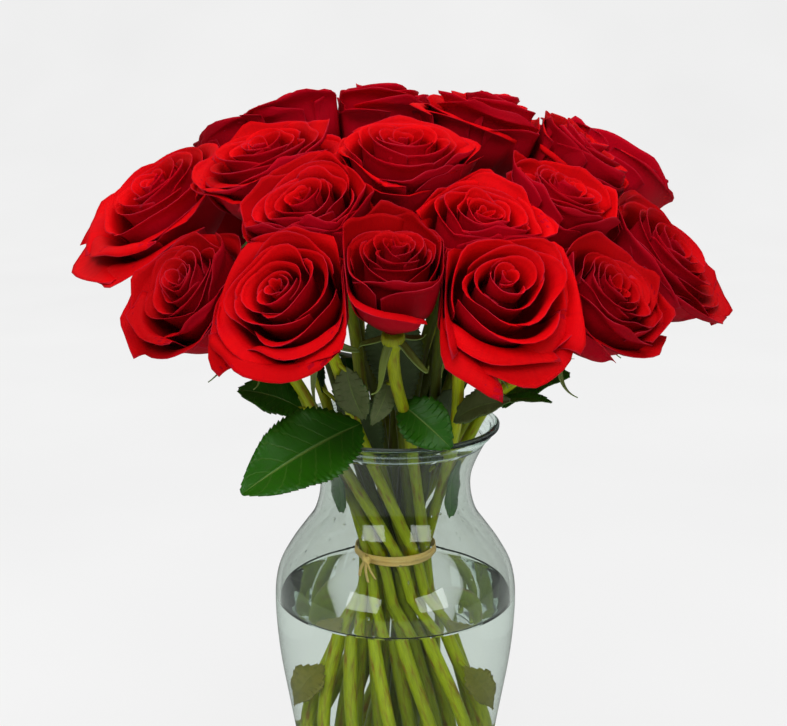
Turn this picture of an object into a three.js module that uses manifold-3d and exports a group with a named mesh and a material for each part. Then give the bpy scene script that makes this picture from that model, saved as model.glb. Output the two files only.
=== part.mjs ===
// A bouquet of two dozen red roses, tied into a spiral and standing in a waisted glass vase of water.
// Units are millimetres. +Z is up, the origin is the middle of the vase's underside, and the
// front of the bouquet faces -Y with +X to its right.
import * as THREE from 'three';
import { mergeVertices } from 'three/addons/utils/BufferGeometryUtils.js';
import Module from 'manifold-3d';

const wasm = await Module();
wasm.setup();

// ---------- driving dimensions ----------
const GAP = 0.3; // clearance between pieces that touch on the real thing

// the vase: outline of its outside as [radius, height], from the foot to the rim
const VASE_OUTLINE = [
  [42, 0], [44.4, 1.8], [46.8, 16], [55.3, 66], [60, 96], [61.7, 122], [59.9, 138], [53.8, 150],
  [46.7, 160], [41.3, 168], [38.2, 179], [38.4, 190], [43, 202], [50, 214],
];
const VASE_HEIGHT = 216;
const RIM_RADIUS = 51.5;
const GLASS_WALL = 2.3;
const GLASS_FLOOR = 8;
const FLOOR_FLAT = 41.5; // radius of the flat floor inside
const VASE_SIDES = 22;
const WATER_LEVEL = 126;

// the bundle of stems, gripped by the tie
const STEM_RADIUS = 2.8;
const STEM_SIDES = 5;
const TIE_HEIGHT = 145;
// sideways run per mm of height, per mm from the axis: a stem leans more above the tie than below
const SPIRAL_LEAN = { above: -0.033, below: -0.0155 };
const STEM_RINGS = { heart: 3.5, middle: 9.8, outer: 15.9 }; // distance from the axis at the tie
const TIE_BAND = { inner: 19.3, thick: 1.5, tall: 6, sides: 20 };
const KNOT = { bearing: -40, radius: 3, tailHalf: 1.1,
  tails: [[-5, 10], [0.6, 12], [5.4, 9]] }; // tails: where each ends, as [sideways, drop]

// the dome of blooms
const CELL_CENTRE = new THREE.Vector3(0, 0, 150); // the planes that part the blooms pass through it
const BLOOM_DEPTH = 48; // from the hip's top to the face of the bloom
const CELL_MARGIN = 0.6; // what each bloom keeps clear of the plane between it and its neighbour
const WALL_SHIFT = 300; // a larger bloom pushes the plane over by the difference of the radii / this
const CROWDED = 0.7; // share of the room to that plane past which a petal is squeezed
const PETAL_THICKNESS = 0.85;
const PETAL_COLUMNS = 2;
// the whorls of petals: how far out in the bloom they lie, how many, half the angle each spans,
// where they start inside the heart as [along, out], and the stations of their rows
const WHORLS = [
  { layer: 0.42, count: 2, half: 60, root: [12, 4], stations: [0.6, 1] },
  { layer: 1.0, count: 5, half: 34, root: [3.5, 2.6], stations: [0.6, 1] },
];
// a petal's curve: belly and lip as shares of the bloom's radius, droop as a share of its depth
const PETAL_CURVE = { belly: 0.3, bellyOuter: 0.5, lipIn: 0.07, lipOut: 0.36, droop: 0.16, notch: 0.13 };
const PETAL_TUCK = 1.2; // how far one edge of a petal stands out over the next petal
// the closed heart of a bloom of radius 31: its outline as [along, radius], and the ledge that
// every other corner makes near the top
const HEART = {
  sides: 6, outline: [[0, 4.6], [9, 7.6], [26, 8.8], [38, 6.8]], apex: 41, ledge: 1.6, ledgeFrom: 20,
  forRadius: 31,
};
const SEPALS = { count: 5, lengths: [21, 24, 27], rootOut: 2.2, rootHalf: 2.4, top: -1.4, under: -4.2 };
const HIP_LENGTH = 9.5;
const HIP_OUTLINE = [[3.5, 5.2], [0, 4.4]]; // [distance below its top, radius]
const BEND_STEPS = 3;
const BEND_HANDLE = 0.36; // pull of a bend's two ends, as a share of the distance between them

// one entry a rose: the middle of its face, the bearing (from the front towards +X) and tilt
// (from straight up) that it looks in, in degrees, the radius it opens to, and how far it has
// opened, from 0 for a bud to 1
const ROSES = [
  { ring: 'outer', face: [-120, -9, 336], bearing: -56, tilt: 38, radius: 44, open: 0.9 },
  { ring: 'outer', face: [-95, -82, 301], bearing: -49, tilt: 52, radius: 32, open: 0.5 },
  { ring: 'outer', face: [-47, -116, 304], bearing: -20, tilt: 55, radius: 34, open: 0.8 },
  { ring: 'outer', face: [-1, -113, 320], bearing: 0, tilt: 30, radius: 30, open: 0.35 },
  { ring: 'outer', face: [46, -117, 306], bearing: 18, tilt: 55, radius: 34, open: 1.0 },
  { ring: 'outer', face: [96, -81, 300], bearing: 44, tilt: 46, radius: 31, open: 0.4 },
  { ring: 'outer', face: [133, -28, 310], bearing: 60, tilt: 48, radius: 38, open: 0.75 },
  { ring: 'outer', face: [112, 46, 349], bearing: 113, tilt: 38, radius: 39, open: 0.6 },
  { ring: 'outer', face: [53, 114, 308], bearing: 155, tilt: 50, radius: 41, open: 0.9 },
  { ring: 'outer', face: [-36, 119, 307], bearing: 197, tilt: 50, radius: 41, open: 0.6 },
  { ring: 'outer', face: [-107, 70, 306], bearing: 237, tilt: 50, radius: 41, open: 0.8 },
  { ring: 'middle', face: [-88, 37, 360], bearing: -112, tilt: 28, radius: 36, open: 0.6 },
  { ring: 'middle', face: [-60, -49, 358], bearing: -40, tilt: 24, radius: 34, open: 0.75 },
  { ring: 'middle', face: [-39, -90, 337], bearing: -23, tilt: 42, radius: 32, open: 0.65 },
  { ring: 'middle', face: [4, -67, 361], bearing: 3, tilt: 20, radius: 34, open: 0.8 },
  { ring: 'middle', face: [39, -91, 332], bearing: 24, tilt: 38, radius: 33, open: 0.7 },
  { ring: 'middle', face: [77, -54, 339], bearing: 50, tilt: 31, radius: 30, open: 0.4 },
  { ring: 'middle', face: [95, -9, 356], bearing: 75, tilt: 36, radius: 34, open: 0.75 },
  { ring: 'middle', face: [64, 52, 360], bearing: 128, tilt: 26, radius: 37, open: 0.6 },
  { ring: 'middle', face: [17, 84, 356], bearing: 170, tilt: 27, radius: 37, open: 0.8 },
  { ring: 'middle', face: [-36, 80, 354], bearing: 206, tilt: 28, radius: 37, open: 0.7 },
  { ring: 'heart', face: [47, -6, 377], bearing: 84, tilt: 14, radius: 35, open: 0.7 },
  { ring: 'heart', face: [-12, 29, 380], bearing: 185, tilt: 9, radius: 35, open: 0.8 },
  { ring: 'heart', face: [-48, 24, 375], bearing: 236, tilt: 14, radius: 35, open: 0.6 },
];
// bearing of each ring's first stem at the vase's mouth
const RING_START = { outer: -88, middle: -100, heart: 60 };

// the leaves: which rose's stem each grows from and at what height, where its blade starts and
// ends, how wide it is, which way its upper face looks, and how far it arches
const LEAF_THICKNESS = 0.8;
const STALK_HALF = 1.2;
const LEAF_ROOM = GAP + 0.1; // what a leaf under water keeps clear of the water
const LEAF_FOLD = 0.22; // rise of the edges over the midrib, as a share of half the width
// stations along a blade; every other one lies in a notch of its toothed edge
const LEAF_STATIONS = {
  large: [0.12, 0.3, 0.42, 0.6, 0.8, 1],
  small: [0.16, 0.4, 0.7, 1],
  upright: [0.25, 0.6, 1],
};
const LARGE_LEAF = 32; // width above which a leaf has the large leaf's stations
const NOTCH = 0.86;
const LEAVES = [
  { rose: 3, height: 223, base: [-16, -51, 228], tip: [-66, -90, 208],
    width: 38, face: [0, -0.8, 0.6], arch: 5 },
  { rose: 2, height: 228, base: [-45, -28, 229], tip: [-74, -31, 239],
    width: 24, face: [0, -0.6, 0.8], arch: 3 },
  { rose: 3, height: 260, base: [-22, -61, 257], tip: [-14, -59, 233],
    width: 15, face: [-0.4, -0.9, 0], arch: 2 },
  { rose: 4, height: 252, base: [-3, -54, 250], tip: [-11, -58, 230],
    width: 12, face: [0.5, -0.8, 0], arch: 2 },
  { rose: 4, height: 236, base: [2.4, -53.4, 238.6], tip: [25, -62, 220],
    width: 24, face: [-0.2, -0.8, 0.6], arch: 3 },
  { rose: 5, height: 226, base: [27, -45, 228], tip: [52, -55, 240],
    width: 20, face: [0.2, -0.5, 0.8], arch: 3 },
  { rose: 6, height: 232, base: [50, -26, 232], tip: [73, -35, 234],
    width: 10, face: [0.1, -0.3, 0.9], arch: 2 },
  { rose: 7, height: 223, base: [50, 0, 225], tip: [84, -17, 243],
    width: 31, face: [0.1, -0.5, 0.8], arch: 4 },
  { rose: 5, height: 208, base: [31, -22, 205], tip: [27, -17, 171],
    width: 12, face: [0.8, -0.6, 0], arch: -3 },
  { rose: 2, height: 208, base: [-33, -18, 205], tip: [-26, -19, 174],
    width: 12, face: [-0.8, -0.6, 0], arch: -3 },
  { rose: 9, height: 96, base: [-27, -4, 93], tip: [-46, -11, 67],
    width: 19, face: [-0.3, -0.8, 0.5], arch: 3 },
  { rose: 3, height: 96, base: [27, -8, 93], tip: [44, -14, 67],
    width: 17, face: [0.3, -0.8, 0.5], arch: 3 },
];
// stems at the sides and the back each carry one more leaf, which points outwards
const OUTWARD_LEAVES = {
  roses: [8, 10, 9, 11], height: 232, stalk: 9, length: 48, width: 31, drop: 9, turn: 14,
};

// upright leaves in the space between the rings of stems: `out` is a leaf's distance from the axis
// at the height of the tie, from where it leans as the stems do
const UPRIGHT_LEAVES = [
  { roses: [14, 16, 19, 21], height: 192, out: 12.9, from: 198, to: 240, width: 24 },
  { roses: [12, 15, 18, 20], height: 221, out: 12.9, from: 228, to: 266, width: 23 },
  { roses: [23], height: 203, out: 6.7, from: 209, to: 258, width: 22 },
];
const UPRIGHT_ARCH = 0.5;

// ---------- colours ----------
const GLASS = new THREE.MeshStandardMaterial({
  color: 0xdfe8e6, roughness: 0.04, metalness: 0, transparent: true, opacity: 0.35,
});
const WATER = new THREE.MeshStandardMaterial({
  color: 0xe6efee, roughness: 0.03, metalness: 0, transparent: true, opacity: 0.3,
});
const STEM_GREEN = new THREE.MeshStandardMaterial({ color: 0x7fa52e, roughness: 0.5, metalness: 0 });
const ROSE_RED = new THREE.MeshStandardMaterial({ color: 0xc20812, roughness: 0.65, metalness: 0 });
const RAFFIA = new THREE.MeshStandardMaterial({ color: 0xc98a4b, roughness: 0.8, metalness: 0 });

// ---------- solids ----------
function solidOf(geometry) {
  const bare = geometry.index ? geometry.toNonIndexed() : geometry.clone();
  bare.deleteAttribute('normal');
  bare.deleteAttribute('uv');
  const merged = mergeVertices(bare, 1e-4);
  const mesh = new wasm.Mesh({
    numProp: 3,
    vertProperties: new Float32Array(merged.attributes.position.array),
    triVerts: new Uint32Array(merged.index.array),
  });
  return new wasm.Manifold(mesh);
}

function fuse(solids) {
  return solids.slice(1).reduce((whole, next) => whole.add(next), solids[0]);
}

// the largest outer skin: leaves out sealed pockets and loose scraps
function largestBody(solid) {
  const bodies = solid.decompose();
  return bodies.reduce((best, next) => (next.volume() > best.volume() ? next : best));
}

function meshOf(name, solid, material) {
  const { vertProperties, triVerts, numProp } = largestBody(solid).getMesh();
  const geometry = new THREE.BufferGeometry();
  const positions = new THREE.BufferAttribute(new Float32Array(vertProperties), numProp);
  geometry.setAttribute('position', positions);
  geometry.setIndex(new THREE.BufferAttribute(new Uint32Array(triVerts), 1));
  geometry.computeVertexNormals();
  const mesh = new THREE.Mesh(geometry, material);
  mesh.name = name;
  return mesh;
}

function fromTriangles(points, triangles) {
  const geometry = new THREE.BufferGeometry().setFromPoints(points);
  geometry.setIndex(triangles.flat());
  return solidOf(geometry);
}

// a ring of [radius, height] points swept round the Z axis
function turned(outline, sides) {
  const points = outline.map(([radius, height]) => new THREE.Vector2(radius, height));
  return new THREE.LatheGeometry(points, sides).rotateX(Math.PI / 2);
}

// a blade with a thickness: rows of points across, which fan out of one root. Both faces are split
// alike, and a rim runs round them.
function bladeSolid(root, rows, thickness, rootThickness) {
  const height = rows.length;
  const width = rows[0].length;
  const at = (row, column) => rows[Math.min(row, height - 1)][
    Math.min(Math.max(column, 0), width - 1)];
  const before = (row, column) => (row ? rows[row - 1][column] : root);
  const faces = [0.5, -0.5].map((side) => {
    const normals = rows.map((points, row) => points.map((point, column) => {
      const along = at(row + 1, column).clone().sub(before(row, column));
      const across = at(row, column + 1).clone().sub(at(row, column - 1));
      return across.cross(along).normalize();
    }));
    const middle = normals[0][width >> 1];
    const skin = rows.map((points, row) => points.map((point, column) => (
      point.clone().addScaledVector(normals[row][column], side * thickness))));
    return [root.clone().addScaledVector(middle, side * rootThickness), ...skin.flat()];
  });
  const index = (row, column) => 1 + row * width + column;
  const skin = [];
  for (let column = 0; column + 1 < width; column++) {
    skin.push([0, index(0, column + 1), index(0, column)]);
    for (let row = 0; row + 1 < height; row++) {
      const [a, b] = [index(row, column), index(row, column + 1)];
      const [c, d] = [index(row + 1, column + 1), index(row + 1, column)];
      skin.push([a, b, c], [a, c, d]);
    }
  }
  const rim = [0];
  for (let row = 0; row < height; row++) rim.push(index(row, width - 1));
  for (let column = width - 2; column >= 0; column--) rim.push(index(height - 1, column));
  for (let row = height - 2; row >= 0; row--) rim.push(index(row, 0));
  const count = faces[0].length;
  const triangles = [...skin];
  for (const [a, b, c] of skin) triangles.push([a + count, c + count, b + count]);
  rim.forEach((here, i) => {
    const next = rim[(i + 1) % rim.length];
    triangles.push([here, here + count, next + count], [here, next + count, next]);
  });
  return fromTriangles(faces.flat(), triangles);
}

// ---------- vase and water ----------
const outlinePoints = [...VASE_OUTLINE, [RIM_RADIUS, VASE_HEIGHT]];

// the outline moved inwards by a distance, square to itself
function insetOutline(distance) {
  return outlinePoints.map(([radius, height], i) => {
    const before = outlinePoints[Math.max(i - 1, 0)];
    const after = outlinePoints[Math.min(i + 1, outlinePoints.length - 1)];
    const run = after[0] - before[0];
    const rise = after[1] - before[1];
    const length = Math.hypot(run, rise);
    return [radius - (distance * rise) / length, height + (distance * run) / length];
  });
}

function innerWall(distance, from, to) {
  return insetOutline(distance).filter(([, height]) => height > from && height < to);
}

function radiusAt(outline, height) {
  const upper = outline.findIndex(([, h]) => h > height);
  const [r0, h0] = outline[upper - 1];
  const [r1, h1] = outline[upper];
  return r0 + ((r1 - r0) * (height - h0)) / (h1 - h0);
}

function vaseSolid() {
  const wall = innerWall(GLASS_WALL, GLASS_FLOOR + 5, VASE_HEIGHT - 3);
  const lip = [[RIM_RADIUS, VASE_HEIGHT - 0.6], [RIM_RADIUS - 1.2, VASE_HEIGHT],
    [RIM_RADIUS - 3, VASE_HEIGHT - 0.8]];
  const profile = [[0, 0], ...VASE_OUTLINE, ...lip, ...wall.reverse(),
    [FLOOR_FLAT, GLASS_FLOOR], [0, GLASS_FLOOR]];
  return solidOf(turned(profile, VASE_SIDES));
}

function waterBlank() {
  const side = GLASS_WALL + GAP;
  const wall = innerWall(side, GLASS_FLOOR + 5, WATER_LEVEL - 4);
  const top = radiusAt(insetOutline(side), WATER_LEVEL);
  const profile = [[0, GLASS_FLOOR + GAP], [FLOOR_FLAT - GAP, GLASS_FLOOR + GAP], ...wall,
    [top, WATER_LEVEL], [0, WATER_LEVEL]];
  return solidOf(turned(profile, VASE_SIDES));
}

// ---------- layout of the roses ----------
const radians = THREE.MathUtils.degToRad;

function facing(bearing, tilt) {
  const [b, t] = [radians(bearing), radians(tilt)];
  return new THREE.Vector3(Math.sin(t) * Math.sin(b), -Math.sin(t) * Math.cos(b), Math.cos(t));
}

// where a stem of the spiral bundle is at a height: above and below the tie all stems turn about
// the axis alike, each a straight line, so no two meet
function inBundle(atTie, height) {
  const lean = SPIRAL_LEAN[height > TIE_HEIGHT ? 'above' : 'below'] * (height - TIE_HEIGHT);
  return new THREE.Vector3(atTie.x - lean * atTie.y, atTie.y + lean * atTie.x, height);
}

function layOut(roses) {
  const turnAtMouth = Math.atan(SPIRAL_LEAN.above * (VASE_HEIGHT - TIE_HEIGHT));
  const counts = {};
  roses.forEach((rose) => { counts[rose.ring] = (counts[rose.ring] ?? 0) + 1; });
  const taken = {};
  return roses.map((rose, index) => {
    const place = taken[rose.ring] ?? 0;
    taken[rose.ring] = place + 1;
    const bearing = RING_START[rose.ring] + (360 * place) / counts[rose.ring];
    const angle = radians(bearing - 90) - turnAtMouth;
    const distance = STEM_RINGS[rose.ring];
    const face = new THREE.Vector3(...rose.face);
    const axis = facing(rose.bearing, rose.tilt);
    const sideways = facing(rose.bearing + 90, 90);
    const middle = face.clone().addScaledVector(axis, -BLOOM_DEPTH / 2);
    return {
      ...rose,
      index,
      number: String(index + 1).padStart(2, '0'),
      axis,
      sideways,
      upward: axis.clone().cross(sideways),
      hip: face.clone().addScaledVector(axis, -BLOOM_DEPTH),
      outlook: middle.sub(CELL_CENTRE).normalize(),
      atTie: new THREE.Vector2(distance * Math.cos(angle), distance * Math.sin(angle)),
      spin: radians(index * 47),
    };
  });
}

const roses = layOut(ROSES);

// each bloom lives in the cone between the planes that part it from its neighbours
function wallsOf(rose) {
  return roses.filter((other) => other !== rose).map((other) => {
    const share = (rose.radius - other.radius) / WALL_SHIFT;
    const normal = rose.outlook.clone().sub(other.outlook).normalize();
    return { normal, share };
  });
}

for (const rose of roses) rose.walls = wallsOf(rose);

// a point of the bloom in its own terms: along its axis from the hip's top, out from the axis,
// and round it. Where neighbours crowd it, the distance out is squeezed, never past the wall.
function bloomPoint(rose, along, out, angle) {
  const outward = rose.sideways.clone().multiplyScalar(Math.cos(angle))
    .addScaledVector(rose.upward, Math.sin(angle));
  const spine = rose.hip.clone().addScaledVector(rose.axis, along);
  const fromCentre = spine.clone().sub(CELL_CENTRE);
  const distance = fromCentre.length();
  let room = Infinity;
  for (const { normal, share } of rose.walls) {
    const closing = -normal.dot(outward);
    if (closing > 1e-6) {
      const clear = normal.dot(fromCentre) + distance * share - CELL_MARGIN;
      room = Math.min(room, clear / closing);
    }
  }
  const crowding = out / room;
  const give = 1 - CROWDED;
  const pressed = room * (CROWDED + give * Math.tanh((crowding - CROWDED) / give));
  const squeezed = crowding < CROWDED ? out : pressed;
  return spine.addScaledVector(outward, squeezed);
}

// ---------- blooms ----------
// the run of a petal from its root to its lip, as [along, out]: layer 0 is the innermost
function petalRun(rose, { layer, root }, s) {
  const { belly, bellyOuter, lipIn, lipOut, droop } = PETAL_CURVE;
  const spread = rose.radius * (belly + bellyOuter * layer);
  const top = BLOOM_DEPTH * (1.0 - 0.1 * layer * rose.open + 0.06 * (1 - rose.open));
  const lip = Math.max(0, (s - 0.5) / 0.5);
  const flare = rose.radius * (lipOut * rose.open * layer - lipIn);
  const out = root[1] + (spread - root[1]) * Math.sin(Math.min(1, s / 0.6) * Math.PI / 2) ** 0.8;
  const fall = BLOOM_DEPTH * droop * rose.open * layer;
  return [root[0] + (top - root[0]) * s ** 1.15 - fall * lip ** 2, out + flare * lip ** 2];
}

function petal(rose, whorl, angle) {
  const rows = whorl.stations.map((s) => {
    const row = [];
    for (let column = 0; column <= PETAL_COLUMNS; column++) {
      const across = (2 * column) / PETAL_COLUMNS - 1;
      const reach = s * (1 - PETAL_CURVE.notch * s * across ** 2);
      const spread = radians(whorl.half) * Math.sin(Math.min(1, reach / 0.5) * Math.PI / 2);
      const [along, out] = petalRun(rose, whorl, reach);
      const tuck = PETAL_TUCK * across * Math.min(1, s * 2);
      row.push(bloomPoint(rose, along, out + tuck, angle + across * spread));
    }
    return row;
  });
  const root = bloomPoint(rose, ...petalRun(rose, whorl, 0), angle);
  return bladeSolid(root, rows, PETAL_THICKNESS, 2 * PETAL_THICKNESS);
}

// the closed heart that the petals stand out of, with the ledges of its own rolled petals
function heart(rose) {
  const { sides, outline, apex, ledge, ledgeFrom, forRadius } = HEART;
  const grow = rose.radius / forRadius;
  const points = [bloomPoint(rose, GAP, 0, 0)];
  for (const [along, out] of outline) {
    for (let side = 0; side < sides; side++) {
      const inwards = side % 2 && along > ledgeFrom ? ledge : 0;
      points.push(bloomPoint(rose, Math.max(along, GAP), (out - inwards) * grow,
        rose.spin + (2 * Math.PI * side) / sides));
    }
  }
  points.push(bloomPoint(rose, apex, 0, 0));
  const triangles = [];
  const ring = (level, side) => 1 + level * sides + (side % sides);
  for (let side = 0; side < sides; side++) {
    triangles.push([0, ring(0, side + 1), ring(0, side)]);
    for (let level = 0; level + 1 < outline.length; level++) {
      const [a, b] = [ring(level, side), ring(level, side + 1)];
      const [c, d] = [ring(level + 1, side), ring(level + 1, side + 1)];
      triangles.push([a, b, d], [a, d, c]);
    }
    const last = outline.length - 1;
    triangles.push([ring(last, side), ring(last, side + 1), points.length - 1]);
  }
  return fromTriangles(points, triangles);
}

function bloomSolid(rose) {
  const pieces = [heart(rose)];
  WHORLS.forEach((whorl, w) => {
    for (let i = 0; i < whorl.count; i++) {
      const angle = rose.spin + (2 * Math.PI * (i + 0.35 * w)) / whorl.count;
      pieces.push(petal(rose, whorl, angle));
    }
  });
  return fuse(pieces);
}

// ---------- stems ----------
// the line of a stem: straight from the vase's floor to its mouth, then one bend out to the hip
function stemLine(rose) {
  const lean = Math.abs(SPIRAL_LEAN.below) * rose.atTie.length();
  const footHeight = GLASS_FLOOR + GAP + STEM_RADIUS * Math.sin(Math.atan(lean));
  const foot = inBundle(rose.atTie, footHeight);
  const tie = inBundle(rose.atTie, TIE_HEIGHT);
  const mouth = inBundle(rose.atTie, VASE_HEIGHT);
  const neck = rose.hip.clone().addScaledVector(rose.axis, -HIP_LENGTH);
  const reach = mouth.distanceTo(neck) * BEND_HANDLE;
  const rising = mouth.clone().sub(tie).normalize();
  const bend = new THREE.CubicBezierCurve3(mouth, mouth.clone().addScaledVector(rising, reach),
    neck.clone().addScaledVector(rose.axis, -reach), neck);
  return { foot, tie, bend };
}

// the places along a stem and its hip where its thickness is given
function stemStations(rose, thickness) {
  const { foot, tie, bend } = rose.line;
  const below = tie.clone().sub(foot).normalize();
  const stations = [
    { at: foot, facing: below, radius: thickness },
    { at: tie, facing: below.clone().add(bend.getTangent(0)).normalize(), radius: thickness },
  ];
  for (let i = 0; i <= BEND_STEPS; i++) {
    const at = bend.getPoint(i / BEND_STEPS);
    stations.push({ at, facing: bend.getTangent(i / BEND_STEPS), radius: thickness });
  }
  for (const [below, radius] of HIP_OUTLINE) {
    const at = rose.hip.clone().addScaledVector(rose.axis, -below);
    stations.push({ at, facing: rose.axis, radius });
  }
  return stations;
}

// rings of a few sides, square to the line at each station, closed at both ends
function loft(stations) {
  const side = new THREE.Vector3(1, 0, 0);
  const points = [];
  for (const { at, facing: heading, radius } of stations) {
    side.addScaledVector(heading, -side.dot(heading)).normalize();
    const other = heading.clone().cross(side);
    for (let k = 0; k < STEM_SIDES; k++) {
      const angle = (2 * Math.PI * k) / STEM_SIDES;
      points.push(at.clone().addScaledVector(side, radius * Math.cos(angle))
        .addScaledVector(other, radius * Math.sin(angle)));
    }
  }
  const triangles = [];
  const last = (stations.length - 1) * STEM_SIDES;
  for (let ring = 0; ring < last; ring += STEM_SIDES) {
    for (let k = 0; k < STEM_SIDES; k++) {
      const next = (k + 1) % STEM_SIDES;
      const [a, b] = [ring + k, ring + next];
      triangles.push([a, b, b + STEM_SIDES], [a, b + STEM_SIDES, a + STEM_SIDES]);
    }
  }
  for (let k = 1; k + 1 < STEM_SIDES; k++) {
    triangles.push([0, k + 1, k], [last, last + k, last + k + 1]);
  }
  return fromTriangles(points, triangles);
}

// a sepal: a slim blade folded back under the petals
function sepal(rose, angle, length) {
  const { rootOut, rootHalf, top, under } = SEPALS;
  const half = rootHalf / rootOut;
  const points = [
    bloomPoint(rose, top, rootOut, angle - half),
    bloomPoint(rose, top, rootOut, angle + half),
    bloomPoint(rose, under, rootOut, angle),
    bloomPoint(rose, under + 0.8 - length * 0.12, rootOut + length, angle),
  ];
  return fromTriangles(points, [[0, 1, 2], [0, 3, 1], [1, 3, 2], [2, 3, 0]]);
}

// the straight stretch of a stem below the tie, with the room it takes in the water
function stemHole(rose) {
  const { foot, tie } = rose.line;
  const radius = STEM_RADIUS + GAP / Math.cos(Math.PI / STEM_SIDES);
  const rising = tie.clone().sub(foot).normalize();
  const below = foot.clone().addScaledVector(rising, -GLASS_FLOOR);
  return loft([{ at: below, facing: rising, radius }, { at: tie, facing: rising, radius }]);
}

// ---------- leaves ----------
function stemPoint(rose, height) {
  if (height <= VASE_HEIGHT) return inBundle(rose.atTie, height);
  let [low, high] = [0, 1];
  for (let i = 0; i < 20; i++) {
    const middle = (low + high) / 2;
    if (rose.line.bend.getPoint(middle).z < height) low = middle;
    else high = middle;
  }
  return rose.line.bend.getPoint(low);
}

// half the width of a leaf along its blade, with the teeth of its edge
function leafOutline(leaf) {
  const stations = LEAF_STATIONS[leaf.kind];
  return stations.map((s, i) => {
    const oval = Math.sin(Math.PI * Math.min(0.985, s ** 0.85)) ** 0.75;
    return [s, (leaf.width / 2) * oval * (i % 2 ? 1 : NOTCH)];
  });
}

// swell makes the leaf a little thicker and wider all round, for the room it takes in the water
function leafSolid(leaf, swell = 0) {
  const anchor = stemPoint(leaf.stem, leaf.height);
  const length = leaf.tip.distanceTo(leaf.base);
  const forward = leaf.tip.clone().sub(leaf.base).normalize();
  const side = forward.clone().cross(leaf.face).normalize();
  const lift = side.clone().cross(forward);
  const rowAt = (middle, half, fold) => [-1, 0, 1].map((across) => (
    middle.clone().addScaledVector(side, across * (half + swell))
      .addScaledVector(lift, Math.abs(across) * fold)));
  const stalk = leaf.base.clone().sub(anchor).normalize();
  const rows = [
    rowAt(anchor.clone().addScaledVector(stalk, STEM_RADIUS * 0.4), STALK_HALF, 0),
    rowAt(leaf.base, STALK_HALF, 0),
  ];
  for (const [s, half] of leafOutline(leaf)) {
    const beyond = s === 1 ? swell : 0;
    const middle = leaf.base.clone().addScaledVector(forward, s * length + beyond)
      .addScaledVector(lift, 4 * leaf.arch * s * (1 - s));
    rows.push(rowAt(middle, half, half * LEAF_FOLD));
  }
  const root = anchor.clone().addScaledVector(stalk, -STEM_RADIUS * 0.3);
  const thickness = LEAF_THICKNESS + 2 * swell;
  return bladeSolid(root, rows, thickness, thickness);
}

function leafOf(number, height, base, tip, width, face, arch, upright = false) {
  const kind = width > LARGE_LEAF ? 'large' : 'small';
  return { stem: roses[number - 1], height, base, tip, width, face, arch, kind: upright ? 'upright' : kind };
}

function outwardLeaf(number, i) {
  const { height, stalk, length, width, drop, turn } = OUTWARD_LEAVES;
  const start = stemPoint(roses[number - 1], height);
  const outward = new THREE.Vector3(start.x, start.y, 0).normalize();
  outward.applyAxisAngle(new THREE.Vector3(0, 0, 1), radians(i % 2 ? -turn : turn));
  const base = start.clone().addScaledVector(outward, stalk);
  const tip = base.clone().addScaledVector(outward, length);
  tip.z -= drop;
  return leafOf(number, height, base, tip, width, new THREE.Vector3(0, 0, 1), 4);
}

function uprightLeaf(number, { height, out, from, to, width }) {
  const atTie = roses[number - 1].atTie.clone().setLength(out);
  const base = inBundle(atTie, from);
  const tip = inBundle(atTie, to);
  const inward = new THREE.Vector3(-base.x - tip.x, -base.y - tip.y, 0).normalize();
  return leafOf(number, height, base, tip, width, inward, UPRIGHT_ARCH, true);
}

function allLeaves() {
  const placed = LEAVES.map(({ rose, height, base, tip, width, face, arch }) => leafOf(rose, height,
    new THREE.Vector3(...base), new THREE.Vector3(...tip), width, new THREE.Vector3(...face), arch));
  return [
    ...placed,
    ...OUTWARD_LEAVES.roses.map(outwardLeaf),
    ...UPRIGHT_LEAVES.flatMap((group) => group.roses.map((number) => uprightLeaf(number, group))),
  ];
}

function stemSolid(rose) {
  const pieces = [loft(stemStations(rose, STEM_RADIUS))];
  const { count, lengths } = SEPALS;
  for (let i = 0; i < count; i++) {
    const angle = rose.spin + (2 * Math.PI * (i + 0.5)) / count;
    pieces.push(sepal(rose, angle, lengths[i % lengths.length]));
  }
  for (const leaf of rose.leaves) pieces.push(leafSolid(leaf));
  return fuse(pieces);
}

// ---------- tie ----------
function tieSolid() {
  const { inner, thick, tall, sides } = TIE_BAND;
  const outer = inner + thick;
  const profile = [[inner, tall / 2], [inner, -tall / 2], [outer, -tall * 0.3], [outer, tall * 0.3],
    [inner, tall / 2]];
  const band = turned(profile, sides).translate(0, 0, TIE_HEIGHT);
  const outward = facing(KNOT.bearing, 90);
  const sideways = facing(KNOT.bearing + 90, 90);
  const place = outward.clone().multiplyScalar(outer + KNOT.radius * 0.5).setZ(TIE_HEIGHT);
  const knot = new THREE.SphereGeometry(KNOT.radius, 6, 4).translate(place.x, place.y, place.z);
  const pieces = [solidOf(band), solidOf(knot)];
  for (const [across, drop] of KNOT.tails) {
    const end = place.clone().addScaledVector(sideways, across).setZ(TIE_HEIGHT - drop);
    const half = sideways.clone().multiplyScalar(-KNOT.tailHalf);
    const rows = [0.4, 1].map((s) => {
      const middle = place.clone().lerp(end, s);
      return [middle.clone().sub(half), middle.clone().add(half)];
    });
    pieces.push(bladeSolid(place, rows, 0.8, 1));
  }
  return fuse(pieces);
}

// ---------- the object ----------
for (const rose of roses) rose.line = stemLine(rose);
const leaves = allLeaves();
for (const rose of roses) rose.leaves = leaves.filter((leaf) => leaf.stem === rose);
const wet = leaves.filter((leaf) => leaf.base.z < WATER_LEVEL);
let water = roses.reduce((solid, rose) => solid.subtract(stemHole(rose)), waterBlank());
water = wet.reduce((solid, leaf) => solid.subtract(leafSolid(leaf, LEAF_ROOM)), water);

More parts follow.
